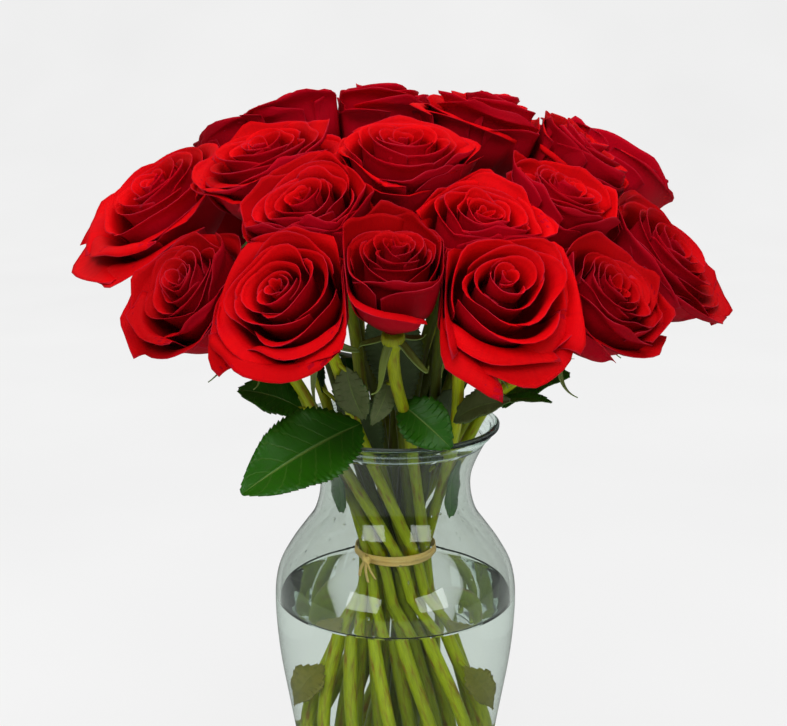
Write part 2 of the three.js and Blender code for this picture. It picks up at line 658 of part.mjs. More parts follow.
const group = new THREE.Group();
group.add(meshOf('vase', vaseSolid(), GLASS));
group.add(meshOf('water', water, WATER));
group.add(meshOf('raffia_tie', tieSolid(), RAFFIA));
for (const rose of roses) {
  group.add(meshOf(`stem_${rose.number}`, stemSolid(rose), STEM_GREEN));
  group.add(meshOf(`bloom_${rose.number}`, bloomSolid(rose), ROSE_RED));
}

export default group;
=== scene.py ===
# %% [markdown]
# # Roses in a vase
#
# Two dozen cut red roses stand, tied with raffia into a spiral, in a waisted glass vase of water.
# A tied bouquet is held by the place where all its stems cross: above it they fan out into a
# dome of blooms, below it they fan out again into the vase. This file dresses the plain CAD part
# with what the eye looks for: rolled and waved petals, toothed leaves with veins, sepals, glass.
#
# All lengths below are millimetres until a mesh is made; Blender's scene is in metres.

# %% Setup
import math

import bpy
import numpy as np
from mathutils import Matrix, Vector


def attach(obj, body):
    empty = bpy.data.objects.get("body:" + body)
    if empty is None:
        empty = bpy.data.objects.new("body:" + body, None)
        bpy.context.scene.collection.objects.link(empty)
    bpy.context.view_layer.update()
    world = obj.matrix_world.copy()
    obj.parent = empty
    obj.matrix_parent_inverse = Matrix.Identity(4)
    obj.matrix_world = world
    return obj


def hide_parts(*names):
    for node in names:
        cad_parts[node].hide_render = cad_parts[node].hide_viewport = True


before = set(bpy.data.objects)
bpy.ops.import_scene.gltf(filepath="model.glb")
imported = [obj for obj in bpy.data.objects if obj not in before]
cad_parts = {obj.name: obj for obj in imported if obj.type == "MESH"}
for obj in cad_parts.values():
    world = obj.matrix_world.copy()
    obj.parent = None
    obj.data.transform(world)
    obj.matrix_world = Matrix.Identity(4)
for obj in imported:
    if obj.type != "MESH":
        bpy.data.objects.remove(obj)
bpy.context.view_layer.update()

# %% [markdown]
# ## The layout of the bouquet
#
# The bouquet is a dome: an outer row of blooms that look sideways, a row inside it that looks up
# and out, and a few on top. A rule could scatter them, but each bloom of the photo has its own
# place, so they are listed one by one, with the values of the CAD part. Each has the ring of the
# bundle that its stem stands in, the middle of its face, a bearing from the front and a tilt from
# straight up, the radius it opens to, and how far it has opened (0 a bud, 1 full).

# %% The roses
BLOOM_DEPTH = 48.0

# ring, middle of the face, bearing, tilt, radius, open
ROSES = [
    ("outer", (-120, -9, 336), -56, 38, 44, 0.9),
    ("outer", (-95, -82, 301), -49, 52, 32, 0.5),
    ("outer", (-47, -116, 304), -20, 55, 34, 0.8),
    ("outer", (-1, -113, 320), 0, 30, 30, 0.35),
    ("outer", (46, -117, 306), 18, 55, 34, 1.0),
    ("outer", (96, -81, 300), 44, 46, 31, 0.4),
    ("outer", (133, -28, 310), 60, 48, 38, 0.75),
    ("outer", (112, 46, 349), 113, 38, 39, 0.6),
    ("outer", (53, 114, 308), 155, 50, 41, 0.9),
    ("outer", (-36, 119, 307), 197, 50, 41, 0.6),
    ("outer", (-107, 70, 306), 237, 50, 41, 0.8),
    ("middle", (-88, 37, 360), -112, 28, 36, 0.6),
    ("middle", (-60, -49, 358), -40, 24, 34, 0.75),
    ("middle", (-39, -90, 337), -23, 42, 32, 0.65),
    ("middle", (4, -67, 361), 3, 20, 34, 0.8),
    ("middle", (39, -91, 332), 24, 38, 33, 0.7),
    ("middle", (77, -54, 339), 50, 31, 30, 0.4),
    ("middle", (95, -9, 356), 75, 36, 34, 0.75),
    ("middle", (64, 52, 360), 128, 26, 37, 0.6),
    ("middle", (17, 84, 356), 170, 27, 37, 0.8),
    ("middle", (-36, 80, 354), 206, 28, 37, 0.7),
    ("heart", (47, -6, 377), 84, 14, 35, 0.7),
    ("heart", (-12, 29, 380), 185, 9, 35, 0.8),
    ("heart", (-48, 24, 375), 236, 14, 35, 0.6),
]
print(len(ROSES), "roses,", sum(1 for rose in ROSES if rose[-1] < 0.5), "of them still bud-like")

# %% [markdown]
# ## Where stems and blooms may be
#
# Stems tied in a spiral cross at one height. Straight lines that all turn alike about one axis do
# the same and never meet, so a line per stem is enough and no test for collisions is needed.
#
# Blooms pressed together flatten against each other. A soft body simulation could show that, but
# slowly. Here each bloom keeps to the cone between the planes that part it from its neighbours: a
# petal's distance from its own axis is squeezed smoothly as it nears such a plane.

# %% Lines of the bundle
TIE_HEIGHT, VASE_HEIGHT = 145.0, 216.0
LEAN_ABOVE, LEAN_BELOW = -0.033, -0.0155  # turn about the bundle's axis, per mm of height
STEM_RINGS = {"heart": 3.5, "middle": 9.8, "outer": 15.9}  # radii at the tie
RING_START = {"outer": -88, "middle": -100, "heart": 60}  # degrees from the front


def unit(vector):
    return vector / np.maximum(np.linalg.norm(vector, axis=-1, keepdims=True), 1e-9)


def smooth(value):
    """0 to 1 with soft ends."""
    value = np.clip(value, 0, 1)
    return value * value * (3 - 2 * value)


def facing(bearing, tilt):
    """The direction at a bearing from the front and a tilt from straight up, in degrees."""
    b, t = np.radians(bearing), np.radians(tilt)
    return np.array([np.sin(t) * np.sin(b), -np.sin(t) * np.cos(b), np.cos(t)])


def in_bundle(at_tie, height):
    """Where a stem that passes a point at the tie is at another height."""
    height = np.asarray(height, float)
    lean = np.where(height > TIE_HEIGHT, LEAN_ABOVE, LEAN_BELOW) * (height - TIE_HEIGHT)
    return np.stack([at_tie[0] - lean * at_tie[1], at_tie[1] + lean * at_tie[0], height], axis=-1)


print("rings of stems at the tie, mm:", STEM_RINGS)

# %% Planes between the blooms
CELL_CENTRE = np.array([0.0, 0.0, 150.0])  # all planes pass near this point
WALL_SHIFT = 300.0  # the larger, the less a wide bloom pushes its plane towards a narrow one
BLOOM_TURN = 47  # degrees from one bloom's first petal to the next bloom's


def lay_out():
    """Each rose's own axes, its place at the tie and the planes round its bloom."""
    turn_at_mouth = math.atan(LEAN_ABOVE * (VASE_HEIGHT - TIE_HEIGHT))
    laid, taken = [], {}
    for index, (ring, face, bearing, tilt, radius, opened) in enumerate(ROSES):
        place = taken.get(ring, 0)
        taken[ring] = place + 1
        count = sum(1 for rose in ROSES if rose[0] == ring)
        angle = math.radians(RING_START[ring] + 360 * place / count - 90) - turn_at_mouth
        axis = facing(bearing, tilt)
        sideways = facing(bearing + 90, 90)
        hip = np.array(face, float) - axis * BLOOM_DEPTH
        laid.append(dict(
            number=index + 1, name=f"{index + 1:02d}", ring=ring, radius=radius, open=opened,
            axis=axis, sideways=sideways, upward=np.cross(axis, sideways), hip=hip,
            spin=math.radians(index * BLOOM_TURN),
            outlook=unit(hip + axis * BLOOM_DEPTH / 2 - CELL_CENTRE),
            at_tie=STEM_RINGS[ring] * np.array([math.cos(angle), math.sin(angle)]),
        ))
    for rose in laid:
        others = [other for other in laid if other is not rose]
        rose["normals"] = unit(np.array([rose["outlook"] - other["outlook"] for other in others]))
        rose["share"] = np.array([(rose["radius"] - other["radius"]) / WALL_SHIFT for other in others])
    return laid


roses = lay_out()
print("planes round each bloom:", len(roses[0]["normals"]))

# %% Squeezed between the planes
CELL_MARGIN = 0.15
CROWDED = 0.7  # the share of its room from which a petal starts to be squeezed


def bloom_point(rose, along, out, angle, within=0.0):
    """Points of a bloom from its own terms: along its axis, out from it, and round it.

    The more petals lie outside a petal, the further it stays within the planes.
    """
    along, out, angle = np.broadcast_arrays(along, out, angle)
    outward = np.cos(angle)[..., None] * rose["sideways"] + np.sin(angle)[..., None] * rose["upward"]
    spine = rose["hip"] + along[..., None] * rose["axis"]
    distance = np.linalg.norm(spine - CELL_CENTRE, axis=-1, keepdims=True)
    closing = -outward @ rose["normals"].T
    clear = (spine - CELL_CENTRE) @ rose["normals"].T + distance * rose["share"] - CELL_MARGIN
    room = np.where(closing > 1e-6, clear / np.maximum(closing, 1e-6), np.inf).min(axis=-1)
    room = np.maximum(room - within, 0.5)
    crowding = out / room
    give = 1 - CROWDED
    pressed = room * (CROWDED + give * np.tanh((crowding - CROWDED) / give))
    squeezed = np.where(crowding < CROWDED, out, pressed)
    return spine + squeezed[..., None] * outward


far_out = bloom_point(roses[3], 40.0, 100.0, np.linspace(0, 2 * np.pi, 8))
room = np.linalg.norm(far_out - roses[3]["hip"] - 40 * roses[3]["axis"], axis=-1)
print("room of bloom 04 at its face, mm:", room.round().astype(int))

# %% [markdown]
# ## Node helpers
#
# Materials could be clicked together by hand. In a script, a few short helpers keep them readable:
# each adds a node and takes every input as a number, a colour or another node's socket. The same
# helper also serves the world's light and the geometry nodes further down.

# %% Helpers for node trees


def add_node(tree, kind, inputs=(), **settings):
    """Adds a node, fills or links its inputs, and gives its outputs."""
    node = tree.nodes.new(kind)
    for key, value in settings.items():
        setattr(node, key, value)
    for key, value in dict(inputs).items():
        socket = node.inputs[key]
        if isinstance(value, bpy.types.NodeSocket):
            tree.links.new(value, socket)
        else:
            socket.default_value = (*value, 1) if socket.type == "RGBA" else value
    return node.outputs


class Shader:
    """The emptied node tree of a material or world, with short ways to add nodes to it."""

    def __init__(self, owner):
        self.owner = bpy.data.materials.new(owner) if isinstance(owner, str) else owner
        self.owner.use_nodes = True
        self.tree = self.owner.node_tree
        self.tree.nodes.clear()

    def add(self, kind, inputs=(), **settings):
        return add_node(self.tree, "ShaderNode" + kind, inputs, **settings)

    def math(self, operation, a, b=0.0):
        return self.add("Math", {0: a, 1: b}, operation=operation)[0]

    def mix(self, factor, a, b):
        return self.add("Mix", {0: factor, 6: a, 7: b}, data_type="RGBA")[2]

    def ramp(self, value, low, high, to_low=0.0, to_high=1.0, form="SMOOTHSTEP"):
        return self.add("MapRange", {0: value, 1: low, 2: high, 3: to_low, 4: to_high},
                        interpolation_type=form)[0]

    def attribute(self, name):
        return self.add("Attribute", attribute_name=name)[2]

    def noise(self, scale, vector=None, detail=2.0, stretch=(1, 1, 1)):
        if vector is None:
            vector = self.add("TexCoord")["Object"]
        mapped = self.add("Mapping", {"Vector": vector, "Scale": stretch})[0]
        return self.add("TexNoise", {"Vector": mapped, "Scale": scale, "Detail": detail})[0]

    def bump(self, height, strength, distance):
        return self.add("Bump", {"Height": height, "Strength": strength, "Distance": distance})[0]

    def principled(self, colour, roughness, normal, specular=0.5, **more):
        return self.add("BsdfPrincipled", {
            "Base Color": colour, "Roughness": roughness, "Normal": normal,
            "Specular IOR Level": specular, **more})[0]

    def blend(self, factor, a, b):
        return self.add("MixShader", {0: factor, 1: a, 2: b})[0]

    def ends_in(self, socket, output="OutputMaterial"):
        self.add(output, {"Surface": socket})
        return self.owner


print("helpers:", ", ".join(name for name in vars(Shader) if not name.startswith("_")))

# %% Helpers for meshes


def mesh_object(name, points, faces, material, attributes=(), uv=None):
    """A mesh object from millimetre points and quads or triangles, with per-point attributes."""
    mesh = bpy.data.meshes.new(name)
    faces = [np.asarray(f) for f in (faces if isinstance(faces, list) else [faces])]
    loops = np.concatenate([f.ravel() for f in faces]).astype(np.int32)
    sizes = np.concatenate([np.full(len(f), f.shape[1]) for f in faces])
    starts = np.concatenate([[0], np.cumsum(sizes)[:-1]]).astype(np.int32)
    mesh.vertices.add(len(points))
    mesh.vertices.foreach_set("co", (np.asarray(points) * 0.001).ravel())
    mesh.loops.add(len(loops))
    mesh.loops.foreach_set("vertex_index", loops)
    mesh.polygons.add(len(sizes))
    mesh.polygons.foreach_set("loop_start", starts)
    mesh.polygons.foreach_set("use_smooth", np.full(len(sizes), True))
    mesh.update(calc_edges=True)
    for key, values in dict(attributes).items():
        layer = mesh.attributes.new(key, "FLOAT", "POINT")
        layer.data.foreach_set("value", np.asarray(values, np.float32).ravel())
    if uv is not None:
        layer = mesh.uv_layers.new(name="UVMap")
        layer.data.foreach_set("uv", np.asarray(uv, np.float32)[loops].ravel())
    mesh.materials.append(material)
    made = bpy.data.objects.new(name, mesh)
    bpy.context.scene.collection.objects.link(made)
    return made


def belongs(piece, node):
    """The piece moves with the one body and stands for a CAD node."""
    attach(piece, "root")
    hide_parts(node)


print("pieces will go into:", bpy.context.scene.collection.name)

# %% [markdown]
# ## Blades
#
# Petals, sepals, leaves and strips of raffia are all thin sheets. A Solidify modifier could give
# a sheet its thickness, but then the shader could not tell its two faces apart. A blade made
# point by point keeps them apart, face by face, and is closed all round its rim.

# %% Blades


def blade(points, thickness):
    """Closes a grid of points into a thin blade, its front points first: points and faces."""
    rows, columns = points.shape[:2]
    normal = unit(np.cross(np.gradient(points, axis=1), np.gradient(points, axis=0)))
    both = np.concatenate([(points + 0.5 * thickness * normal).reshape(-1, 3),
                           (points - 0.5 * thickness * normal).reshape(-1, 3)])
    index = np.arange(rows * columns).reshape(rows, columns)
    front = np.stack([index[:-1, :-1], index[:-1, 1:], index[1:, 1:], index[1:, :-1]], -1)
    front = front.reshape(-1, 4)
    rim = np.concatenate([index[0, :-1], index[:-1, -1], index[-1, :0:-1], index[:0:-1, 0]])
    after = np.roll(rim, -1)
    shift = rows * columns
    sides = np.stack([rim, rim + shift, after + shift, after], -1)
    return both, np.concatenate([front, front[:, ::-1] + shift, sides])


def grid_uv(sheet, scale=(1, 1)):
    """UV for both faces of a blade: across the sheet, and along it."""
    rows, columns = sheet.shape[:2]
    grid = np.stack(np.meshgrid(np.linspace(0, 1, columns), np.linspace(0, 1, rows)), -1) * scale
    return np.tile(grid.reshape(-1, 2), (2, 1))


def joined(parts):
    """Several (points, quads, uv) pieces as one."""
    starts = np.cumsum([0] + [len(points) for points, _, _ in parts])
    points, quads, uvs = zip(*parts)
    return (np.concatenate(points), np.concatenate([q + start for q, start in zip(quads, starts)]),
            np.concatenate(uvs))


print("a square blade has", len(blade(np.zeros((2, 2, 3)), 1)[1]), "faces")

# %% [markdown]
# ## What a petal is made of
#
# A rose petal is velvety because its face is covered in tiny cones, and it lets some light
# through. The inner face is the brighter one; the back is a cooler crimson. The rim is thin and
# dry and catches the light as a fine paler line, partly its own colour and partly a painted
# highlight. A painted image could show this, but a shader driven by the mesh fits every petal:
# each point carries how far it is from the rim, which face it is on, how much painted shade it
# gets from lying deep in the bloom, and a tone for the whole petal.

# %% Petal material


def petal_material():
    s = Shader("petal")
    fibre = s.noise(1.0, s.add("UVMap")[0], 3.0, (34, 3, 1))
    cloud = s.noise(60.0)
    tone = s.attribute("tone")
    face = s.mix(tone, (0.52, 0.0014, 0.003), (0.72, 0.0020, 0.004))
    under = s.mix(tone, (0.34, 0.001, 0.008), (0.54, 0.0015, 0.014))
    colour = s.mix(s.attribute("back"), face, under)
    # Painted shade: points deep in the bloom, well below a rim, darken towards a near-black crimson.
    colour = s.mix(s.attribute("deep"), colour, (0.085, 0.0005, 0.002))
    colour = s.mix(s.ramp(fibre, 0.4, 0.85, 0.0, 0.3), colour, (0.42, 0.001, 0.005))
    colour = s.mix(s.ramp(cloud, 0.45, 0.8, 0.0, 0.3), colour, (0.5, 0.001, 0.010))
    # The thin line along the rim is partly the dry rim's own colour and partly a painted highlight.
    near_rim = s.ramp(s.attribute("edge"), 0.03, 0.45, 1.0, 0.0)
    rim = s.math("MULTIPLY", near_rim, s.ramp(cloud, 0.35, 0.65, 0.0, 0.65))
    colour = s.mix(rim, colour, (0.42, 0.020, 0.045))
    bump = s.bump(s.math("ADD", fibre, s.math("MULTIPLY", cloud, 1.6)), 0.25, 0.0006)
    skin = s.principled(colour, 0.55, bump, 0.025, **{
        "Sheen Weight": 0.02, "Sheen Roughness": 0.5, "Sheen Tint": (1, 0.05, 0.1)})
    warm = s.mix(0.35, colour, (0.8, 0.0, 0.0))
    glow = s.add("BsdfTranslucent", {"Color": warm, "Normal": bump})[0]
    return s.ends_in(s.blend(0.07, skin, glow))


petal_skin = petal_material()
print("petal material:", len(petal_skin.node_tree.nodes), "nodes")

# %% [markdown]
# ## One petal
#
# A petal is a bowl with a lip: it rises from its root, bellies out, and rolls its rim back, which
# makes its tip look pointed. It could be sculpted, but two dozen blooms need nearly six hundred
# of them, no two alike. So each is a grid worked out from a few settings. Its run from root to lip
# is drawn as height and distance from the bloom's axis, then swept round and squeezed between the
# bloom's planes. A blade of a quarter of a millimetre is then closed round the grid.

# %% Petal shape
PETAL_GRID = (22, 15)  # along, across
PETAL_THICKNESS = 0.24
TIP_WIDTH = 0.22  # of half the petal


def petal_sheet(rose, p):
    """A petal's middle surface as a grid, each point's distance from the rim, and its painted shade.
    """
    rows, columns = PETAL_GRID
    s = np.linspace(0, 1, rows)[:, None] ** 0.9
    across = np.linspace(-1, 1, columns)[None, :]
    waves = np.sin(across * p["wave"] + p["phase"])
    tip = p["tip"] * np.exp(-(((across - p["lean"]) / TIP_WIDTH) ** 2))
    reach = s * (1 - p["round"] * s * np.abs(across) ** 2.4 + tip * s + 0.028 * waves * s)

    # The bowl: a quick swell to the belly, then a lip that flares and droops.
    swell = np.sin(np.minimum(1, reach / p["swell"]) * np.pi / 2) ** (0.8 + 2 * (p["swell"] - 0.6))
    belly = p["root"][1] + (p["belly"] - p["root"][1]) * swell
    lip = np.maximum(0, (reach - 0.5) / 0.5)
    along = p["root"][0] + (p["top"] - p["root"][0]) * reach ** 1.15 - p["droop"] * lip ** 2
    out = belly + p["flare"] * lip ** 2

    # One side tucks under the next petal, and both margins fold back.
    margin = np.clip((np.abs(across) - 0.55) / 0.45, 0, 1) ** 2 * smooth((reach - 0.35) / 0.4)
    out = out + p["tuck"] * across * np.minimum(1, 2 * s) + p["wander"] * waves * s ** 2 * 0.8
    out = out + margin * p["fold"]
    along = along - margin * p["fold"] * 0.5

    # The rim rolls over on a small radius.
    rolled = smooth((reach - p["roll_from"]) / (1.02 - p["roll_from"]))
    turn = rolled * p["roll"] * (1 + 0.25 * waves)
    out = out + p["roll_radius"] * (np.sin(turn) + 0.18 * turn)
    along = along - p["roll_radius"] * (1 - np.cos(turn))

    # Round the axis: a little oval and off the middle, as no heart is quite round.
    spread = p["half"] * np.sin(np.minimum(1, 0.25 + reach / 0.42) * np.pi / 2)
    angle = p["angle"] + across * spread - p["set_at"]
    aside = out * np.cos(angle) * (1 - p["flat"]) + p["aside"] * s ** 2
    ahead = out * np.sin(angle) * (1 + p["flat"])
    points = bloom_point(rose, along, np.hypot(aside, ahead),
                         np.arctan2(ahead, aside) + p["set_at"], p["within"])

    side = (1 - np.abs(across)) * np.maximum(out, 2) * p["half"]
    below = (1 - s) * (p["top"] - p["root"][0] + 6) + 0 * across
    # Painted shade: darker from lit mm below the rim, at its darkest (dark) 11 mm further down.
    return points, np.minimum(below, side), smooth((below - p["lit"]) / 11) * p["dark"]


print("points in a petal:", 2 * PETAL_GRID[0] * PETAL_GRID[1])

# %% [markdown]
# ## The petals of a bloom
#
# A rose opens from the outside in. At the middle a few narrow petals are still rolled tight;
# round them each further petal, a golden angle on from the last, stands a little further out and
# wraps a little less far. Two rounds of five broad petals lean out round these and roll their
# lips back. In an open bloom the lips flare and droop; in a bud they stand up. A node tree could
# place copies of one petal, but they would show as copies, so chance, from a fixed seed for each
# bloom, gives every petal its own waves, tip, roll and tone.

# %% Settings of the inner petals
GOLDEN_ANGLE = math.radians(137.508)


def inner_petals(rose, chance, count, set_at, aside):
    """The spiral of petals in the middle, from the tight heart out."""
    r, opened = rose["radius"], rose["open"]
    for k in range(count):
        t = k / (count - 1)
        reach_out = r * (0.05 + (0.40 + 0.20 * opened) * t ** 1.1)
        bud_rise, open_rise = 0.09 * (1 - t), 0.045 * np.sin(np.pi * min(1, t * 1.1))
        rise_more = bud_rise * (1 - opened) + open_rise * opened
        yield dict(
            angle=rose["spin"] + k * GOLDEN_ANGLE, half=math.radians(114 - 50 * t + chance(-9, 9)),
            root=(14 - 4 * t, 1.5 + 2 * t), belly=reach_out * chance(0.95, 1.05),
            top=BLOOM_DEPTH * (0.94 + rise_more) - chance(0, 3.0),
            flare=r * (0.012 + 0.075 * t * (0.3 + 0.7 * opened)), droop=0.8 * opened * t,
            tuck=reach_out * 0.10, round=0.10, tip=chance(0, 0.035), lean=chance(-0.5, 0.5),
            wave=chance(2.5, 6), phase=chance(0, 6.28), wander=0.5 + 1.5 * t, fold=0.8 * t,
            roll=math.radians(chance(50, 75) + 25 * t), roll_from=0.92 - 0.07 * t,
            roll_radius=0.5 + 1.3 * t * chance(0.7, 1.1), tone=chance(0.2, 1),
            # lit and dark set the painted shade: how far below the rim it starts, and how dark it
            # gets.
            lit=2.5 + 5.0 * t, dark=0.68, swell=0.6, flat=0.11 * (1 - 0.6 * t),
            aside=aside * (1 - t), set_at=set_at, within=2.0 + 0.22 * (count - k),
        )


print("the spiral turns", round(math.degrees(GOLDEN_ANGLE), 1), "degrees from petal to petal")

# %% Settings of the outer petals
ROUND = 2 * math.pi
PETALS_IN_ROUND = 5
LOW_FLARE = 3.5  # how much less a petal flares where it hangs under an open bloom


def outer_petals(rose, chance, set_at):
    """Two rounds of five broad petals; now and then one has fallen open further."""
    r, opened = rose["radius"], rose["open"]
    for k in range(2 * PETALS_IN_ROUND):
        outer = k >= PETALS_IN_ROUND
        layer = 1.0 if outer else 0.76
        turn = (k + (0.35 if outer else 0.85)) / PETALS_IN_ROUND
        fallen = chance() < (0.45 if outer else 0.12) + (0.25 if rose["ring"] == "heart" else 0)
        angle = rose["spin"] + ROUND * turn + chance(-0.12, 0.12)
        low = max(0, -math.sin(angle) * rose["upward"][2])
        flare = r * (0.38 * opened * layer - 0.02 + (0.17 * (1 - opened) - 0.01 if fallen else 0))
        height = BLOOM_DEPTH * (1.0 - 0.08 * layer * opened + 0.08 * (1 - opened))
        yield dict(
            angle=angle, half=math.radians(chance(47, 56)), root=(3.5, 2.6),
            belly=r * (0.3 + 0.47 * layer) + 0.4 * (k % PETALS_IN_ROUND - 3),
            top=height * (0.88 if fallen else chance(0.95, 1.04)),
            flare=flare - LOW_FLARE * opened * low ** 2,
            droop=BLOOM_DEPTH * 0.13 * opened * layer + (1 if fallen else 0), tuck=2.2,
            round=0.10, tip=chance(0.02, 0.09), lean=chance(-0.35, 0.35), wave=chance(2, 4.5),
            phase=chance(0, 6.28), wander=chance(0.6, 1.6), fold=chance(2.4, 4.2) * (0.4 + opened),
            roll=math.radians(chance(80, 185)), roll_from=chance(0.70, 0.86),
            roll_radius=(1.3 + 2.0 * opened) * chance(0.6, 1.15), tone=chance(0, 0.9),
            # lit and dark set the painted shade: how far below the rim it starts, and how dark it
            # gets.
            lit=18 if outer else 9, dark=0.65, swell=0.6 + 0.2 * (1 - opened), flat=0.02,
            aside=0.0, set_at=set_at, within=0.2 * (2 * PETALS_IN_ROUND - 1 - k),
        )


print("outer petals:", 2 * PETALS_IN_ROUND, "in two rounds")

# %% All petals of a bloom


def petals_of(rose):
    """The settings of every petal of one bloom, with a seed of the bloom's own."""
    rng = np.random.default_rng(rose["number"] * 7 + 3)

    def chance(low=0.0, high=1.0):
        return float(rng.uniform(low, high))

    count = 13 + int(rng.integers(0, 3))
    set_at, aside = chance(0, 6.28), rose["radius"] * chance(0.03, 0.11)
    yield from inner_petals(rose, chance, count, set_at, aside)
    yield from outer_petals(rose, chance, set_at)


counts = [sum(1 for _ in petals_of(rose)) for rose in roses]
print("petals in a bloom:", min(counts), "to", max(counts), "and", sum(counts), "in all")

# %% [markdown]
# ## Blooms
#
# Under the petals a closed heart fills the middle, so that no light shows through. It could be a
# solid, but the sheet of a petal that meets itself does as well. All blades of a bloom are joined
# into one mesh: petals touch and overlap everywhere, so they move and are counted as one piece.

# %% Blooms
SHADED_BLOOMS = (2, 4, 6, 7, 12)  # painted shade: these blooms are painted darker, as if less light reached them


def bud_core(rose):
    """The tight closed heart that every petal wraps, as a sheet that meets itself."""
    s = np.linspace(0, 1, PETAL_GRID[0])[:, None]
    angle = np.linspace(-np.pi, np.pi, PETAL_GRID[1])[None, :]
    out = rose["radius"] * 0.27 * np.sin(np.pi * (0.12 + 0.87 * s)) ** 0.6
    along = 3 + 0.78 * BLOOM_DEPTH * s
    sheet = bloom_point(rose, along + 0 * angle, out + 0 * angle, angle + 0 * s)
    # Painted shade: the heart takes the darkest colour all over, as no light reaches it.
    far_from_rim, dark = np.full(sheet.shape[:2], 9.0), np.full(sheet.shape[:2], 1.0)
    return sheet, far_from_rim, dark


def bloom(rose):
    # Painted shade: the blooms listed above get a darker tone and some painted shade all over.
    in_shade = rose["number"] in SHADED_BLOOMS
    mood = -0.3 if in_shade else 0.15 + 0.25 * math.sin(rose["number"] * 1.7)
    blades = []
    carried = dict(edge=[], back=[], deep=[], tone=[])
    sheets = [(petal_sheet(rose, p), p["tone"], p["phase"]) for p in petals_of(rose)]
    for (sheet, rim, petal_shade), tone, phase in sheets + [(bud_core(rose), 0.4, 0.0)]:
        both, quads = blade(sheet, PETAL_THICKNESS)
        blades.append((both, quads, grid_uv(sheet) + phase))
        carried["edge"].append(np.tile(rim.ravel(), 2))
        carried["back"].append(np.repeat([1.0, 0.0], rim.size))
        carried["deep"].append(np.tile(np.maximum(petal_shade.ravel(), 0.22 if in_shade else 0), 2))
        carried["tone"].append(np.full(2 * rim.size, np.clip(tone + mood, 0, 1)))
    points, quads, uv = joined(blades)
    values = {key: np.concatenate(lists) for key, lists in carried.items()}
    return mesh_object(f"petals_{rose['name']}", points, quads, petal_skin, values, uv)


for rose in roses:
    belongs(bloom(rose), f"bloom_{rose['name']}")
print("blooms:", len(roses))

# %% [markdown]
# ## Stems
#
# A cut rose stem is a straight green rod, brown-red in streaks where the sun had it, with a knob
# wherever a leaf grew. Under the petals it swells into the hip. It could be a curve with a bevel.
# A ring of points swept along the stem's line is as short to write, takes a radius at each point,
# and gives a UV map that runs along the stem in millimetres, which the streaks need.

# %% Tubes
STEM_SIDES, STEM_RADIUS = 14, 2.8


def tube(path, radii, sides=STEM_SIDES):
    """Rings swept along a path, closed at both ends: points, quads, triangles and uv."""
    path, radii = np.asarray(path, float), np.asarray(radii, float)
    heading = unit(np.gradient(path, axis=0))
    side = np.array([1.0, 0.0, 0.0])
    angles = np.linspace(0, 2 * np.pi, sides, endpoint=False)
    rings = []
    for at, ahead, radius in zip(path, heading, radii):
        side = unit(side - ahead * (side @ ahead))
        other = np.cross(ahead, side)
        rings.append(at + radius * (np.cos(angles)[:, None] * side + np.sin(angles)[:, None] * other))
    points = np.concatenate(rings + [path[:1], path[-1:]])
    index = np.arange(len(path) * sides).reshape(len(path), sides)
    after = np.roll(index, -1, axis=1)
    walls = np.stack([index[:-1], after[:-1], after[1:], index[1:]], -1).reshape(-1, 4)
    low = np.stack([np.full(sides, len(path) * sides), after[0], index[0]], -1)
    high = np.stack([np.full(sides, len(path) * sides + 1), index[-1], after[-1]], -1)
    run = np.concatenate([[0], np.cumsum(np.linalg.norm(np.diff(path, axis=0), axis=1))])
    uv = np.stack([np.tile(np.abs(np.linspace(-1, 1, sides)), len(path)), np.repeat(run, sides)], -1)
    return points, walls, np.concatenate([low, high]), np.concatenate([uv, uv[:1], uv[-1:]])


print("faces round a stem:", STEM_SIDES)

# %% [markdown]
# ## The lines of the stems
#
# Below the vase's mouth a stem is straight, but for a slight bow towards the glass under the tie,
# where the bundle's feet press apart. Above it the stem bends out to its own bloom, and a cubic
# curve does that: it starts along the straight stem and arrives along the bloom's axis.

# %% Lines of the stems
HIP_LENGTH = 9.5
HIP_RADII = [0, 0.35, 0.63, 0.85, 1.0], [2.8, 4.2, 5.2, 5.0, 4.3]  # share of its length, radius
FOOT_HEIGHT = 8.7
BOW = 0.24  # of a stem's distance from the bundle's axis
BEND_REACH = 0.36  # of the straight way from the vase's mouth to the bloom


def stem_bend(rose, count=28):
    tie, mouth = (in_bundle(rose["at_tie"], height) for height in (TIE_HEIGHT, VASE_HEIGHT))
    neck = rose["hip"] - rose["axis"] * HIP_LENGTH
    reach = np.linalg.norm(mouth - neck) * BEND_REACH
    a, b, c, d = mouth, mouth + unit(mouth - tie) * reach, neck - rose["axis"] * reach, neck
    t = np.linspace(0, 1, count)[:, None]
    return (1 - t) ** 3 * a + 3 * (1 - t) ** 2 * t * b + 3 * (1 - t) * t ** 2 * c + t ** 3 * d


def fanned(points):
    """Bowed out, most of all between the tie and the feet."""
    height = points[..., 2]
    near_foot = smooth((75 - height) / 65)
    fan = 1 + BOW * smooth((TIE_HEIGHT - height) / 70) * (1 - 0.8 * near_foot)
    return points * np.stack([fan, fan, np.ones_like(fan)], -1)


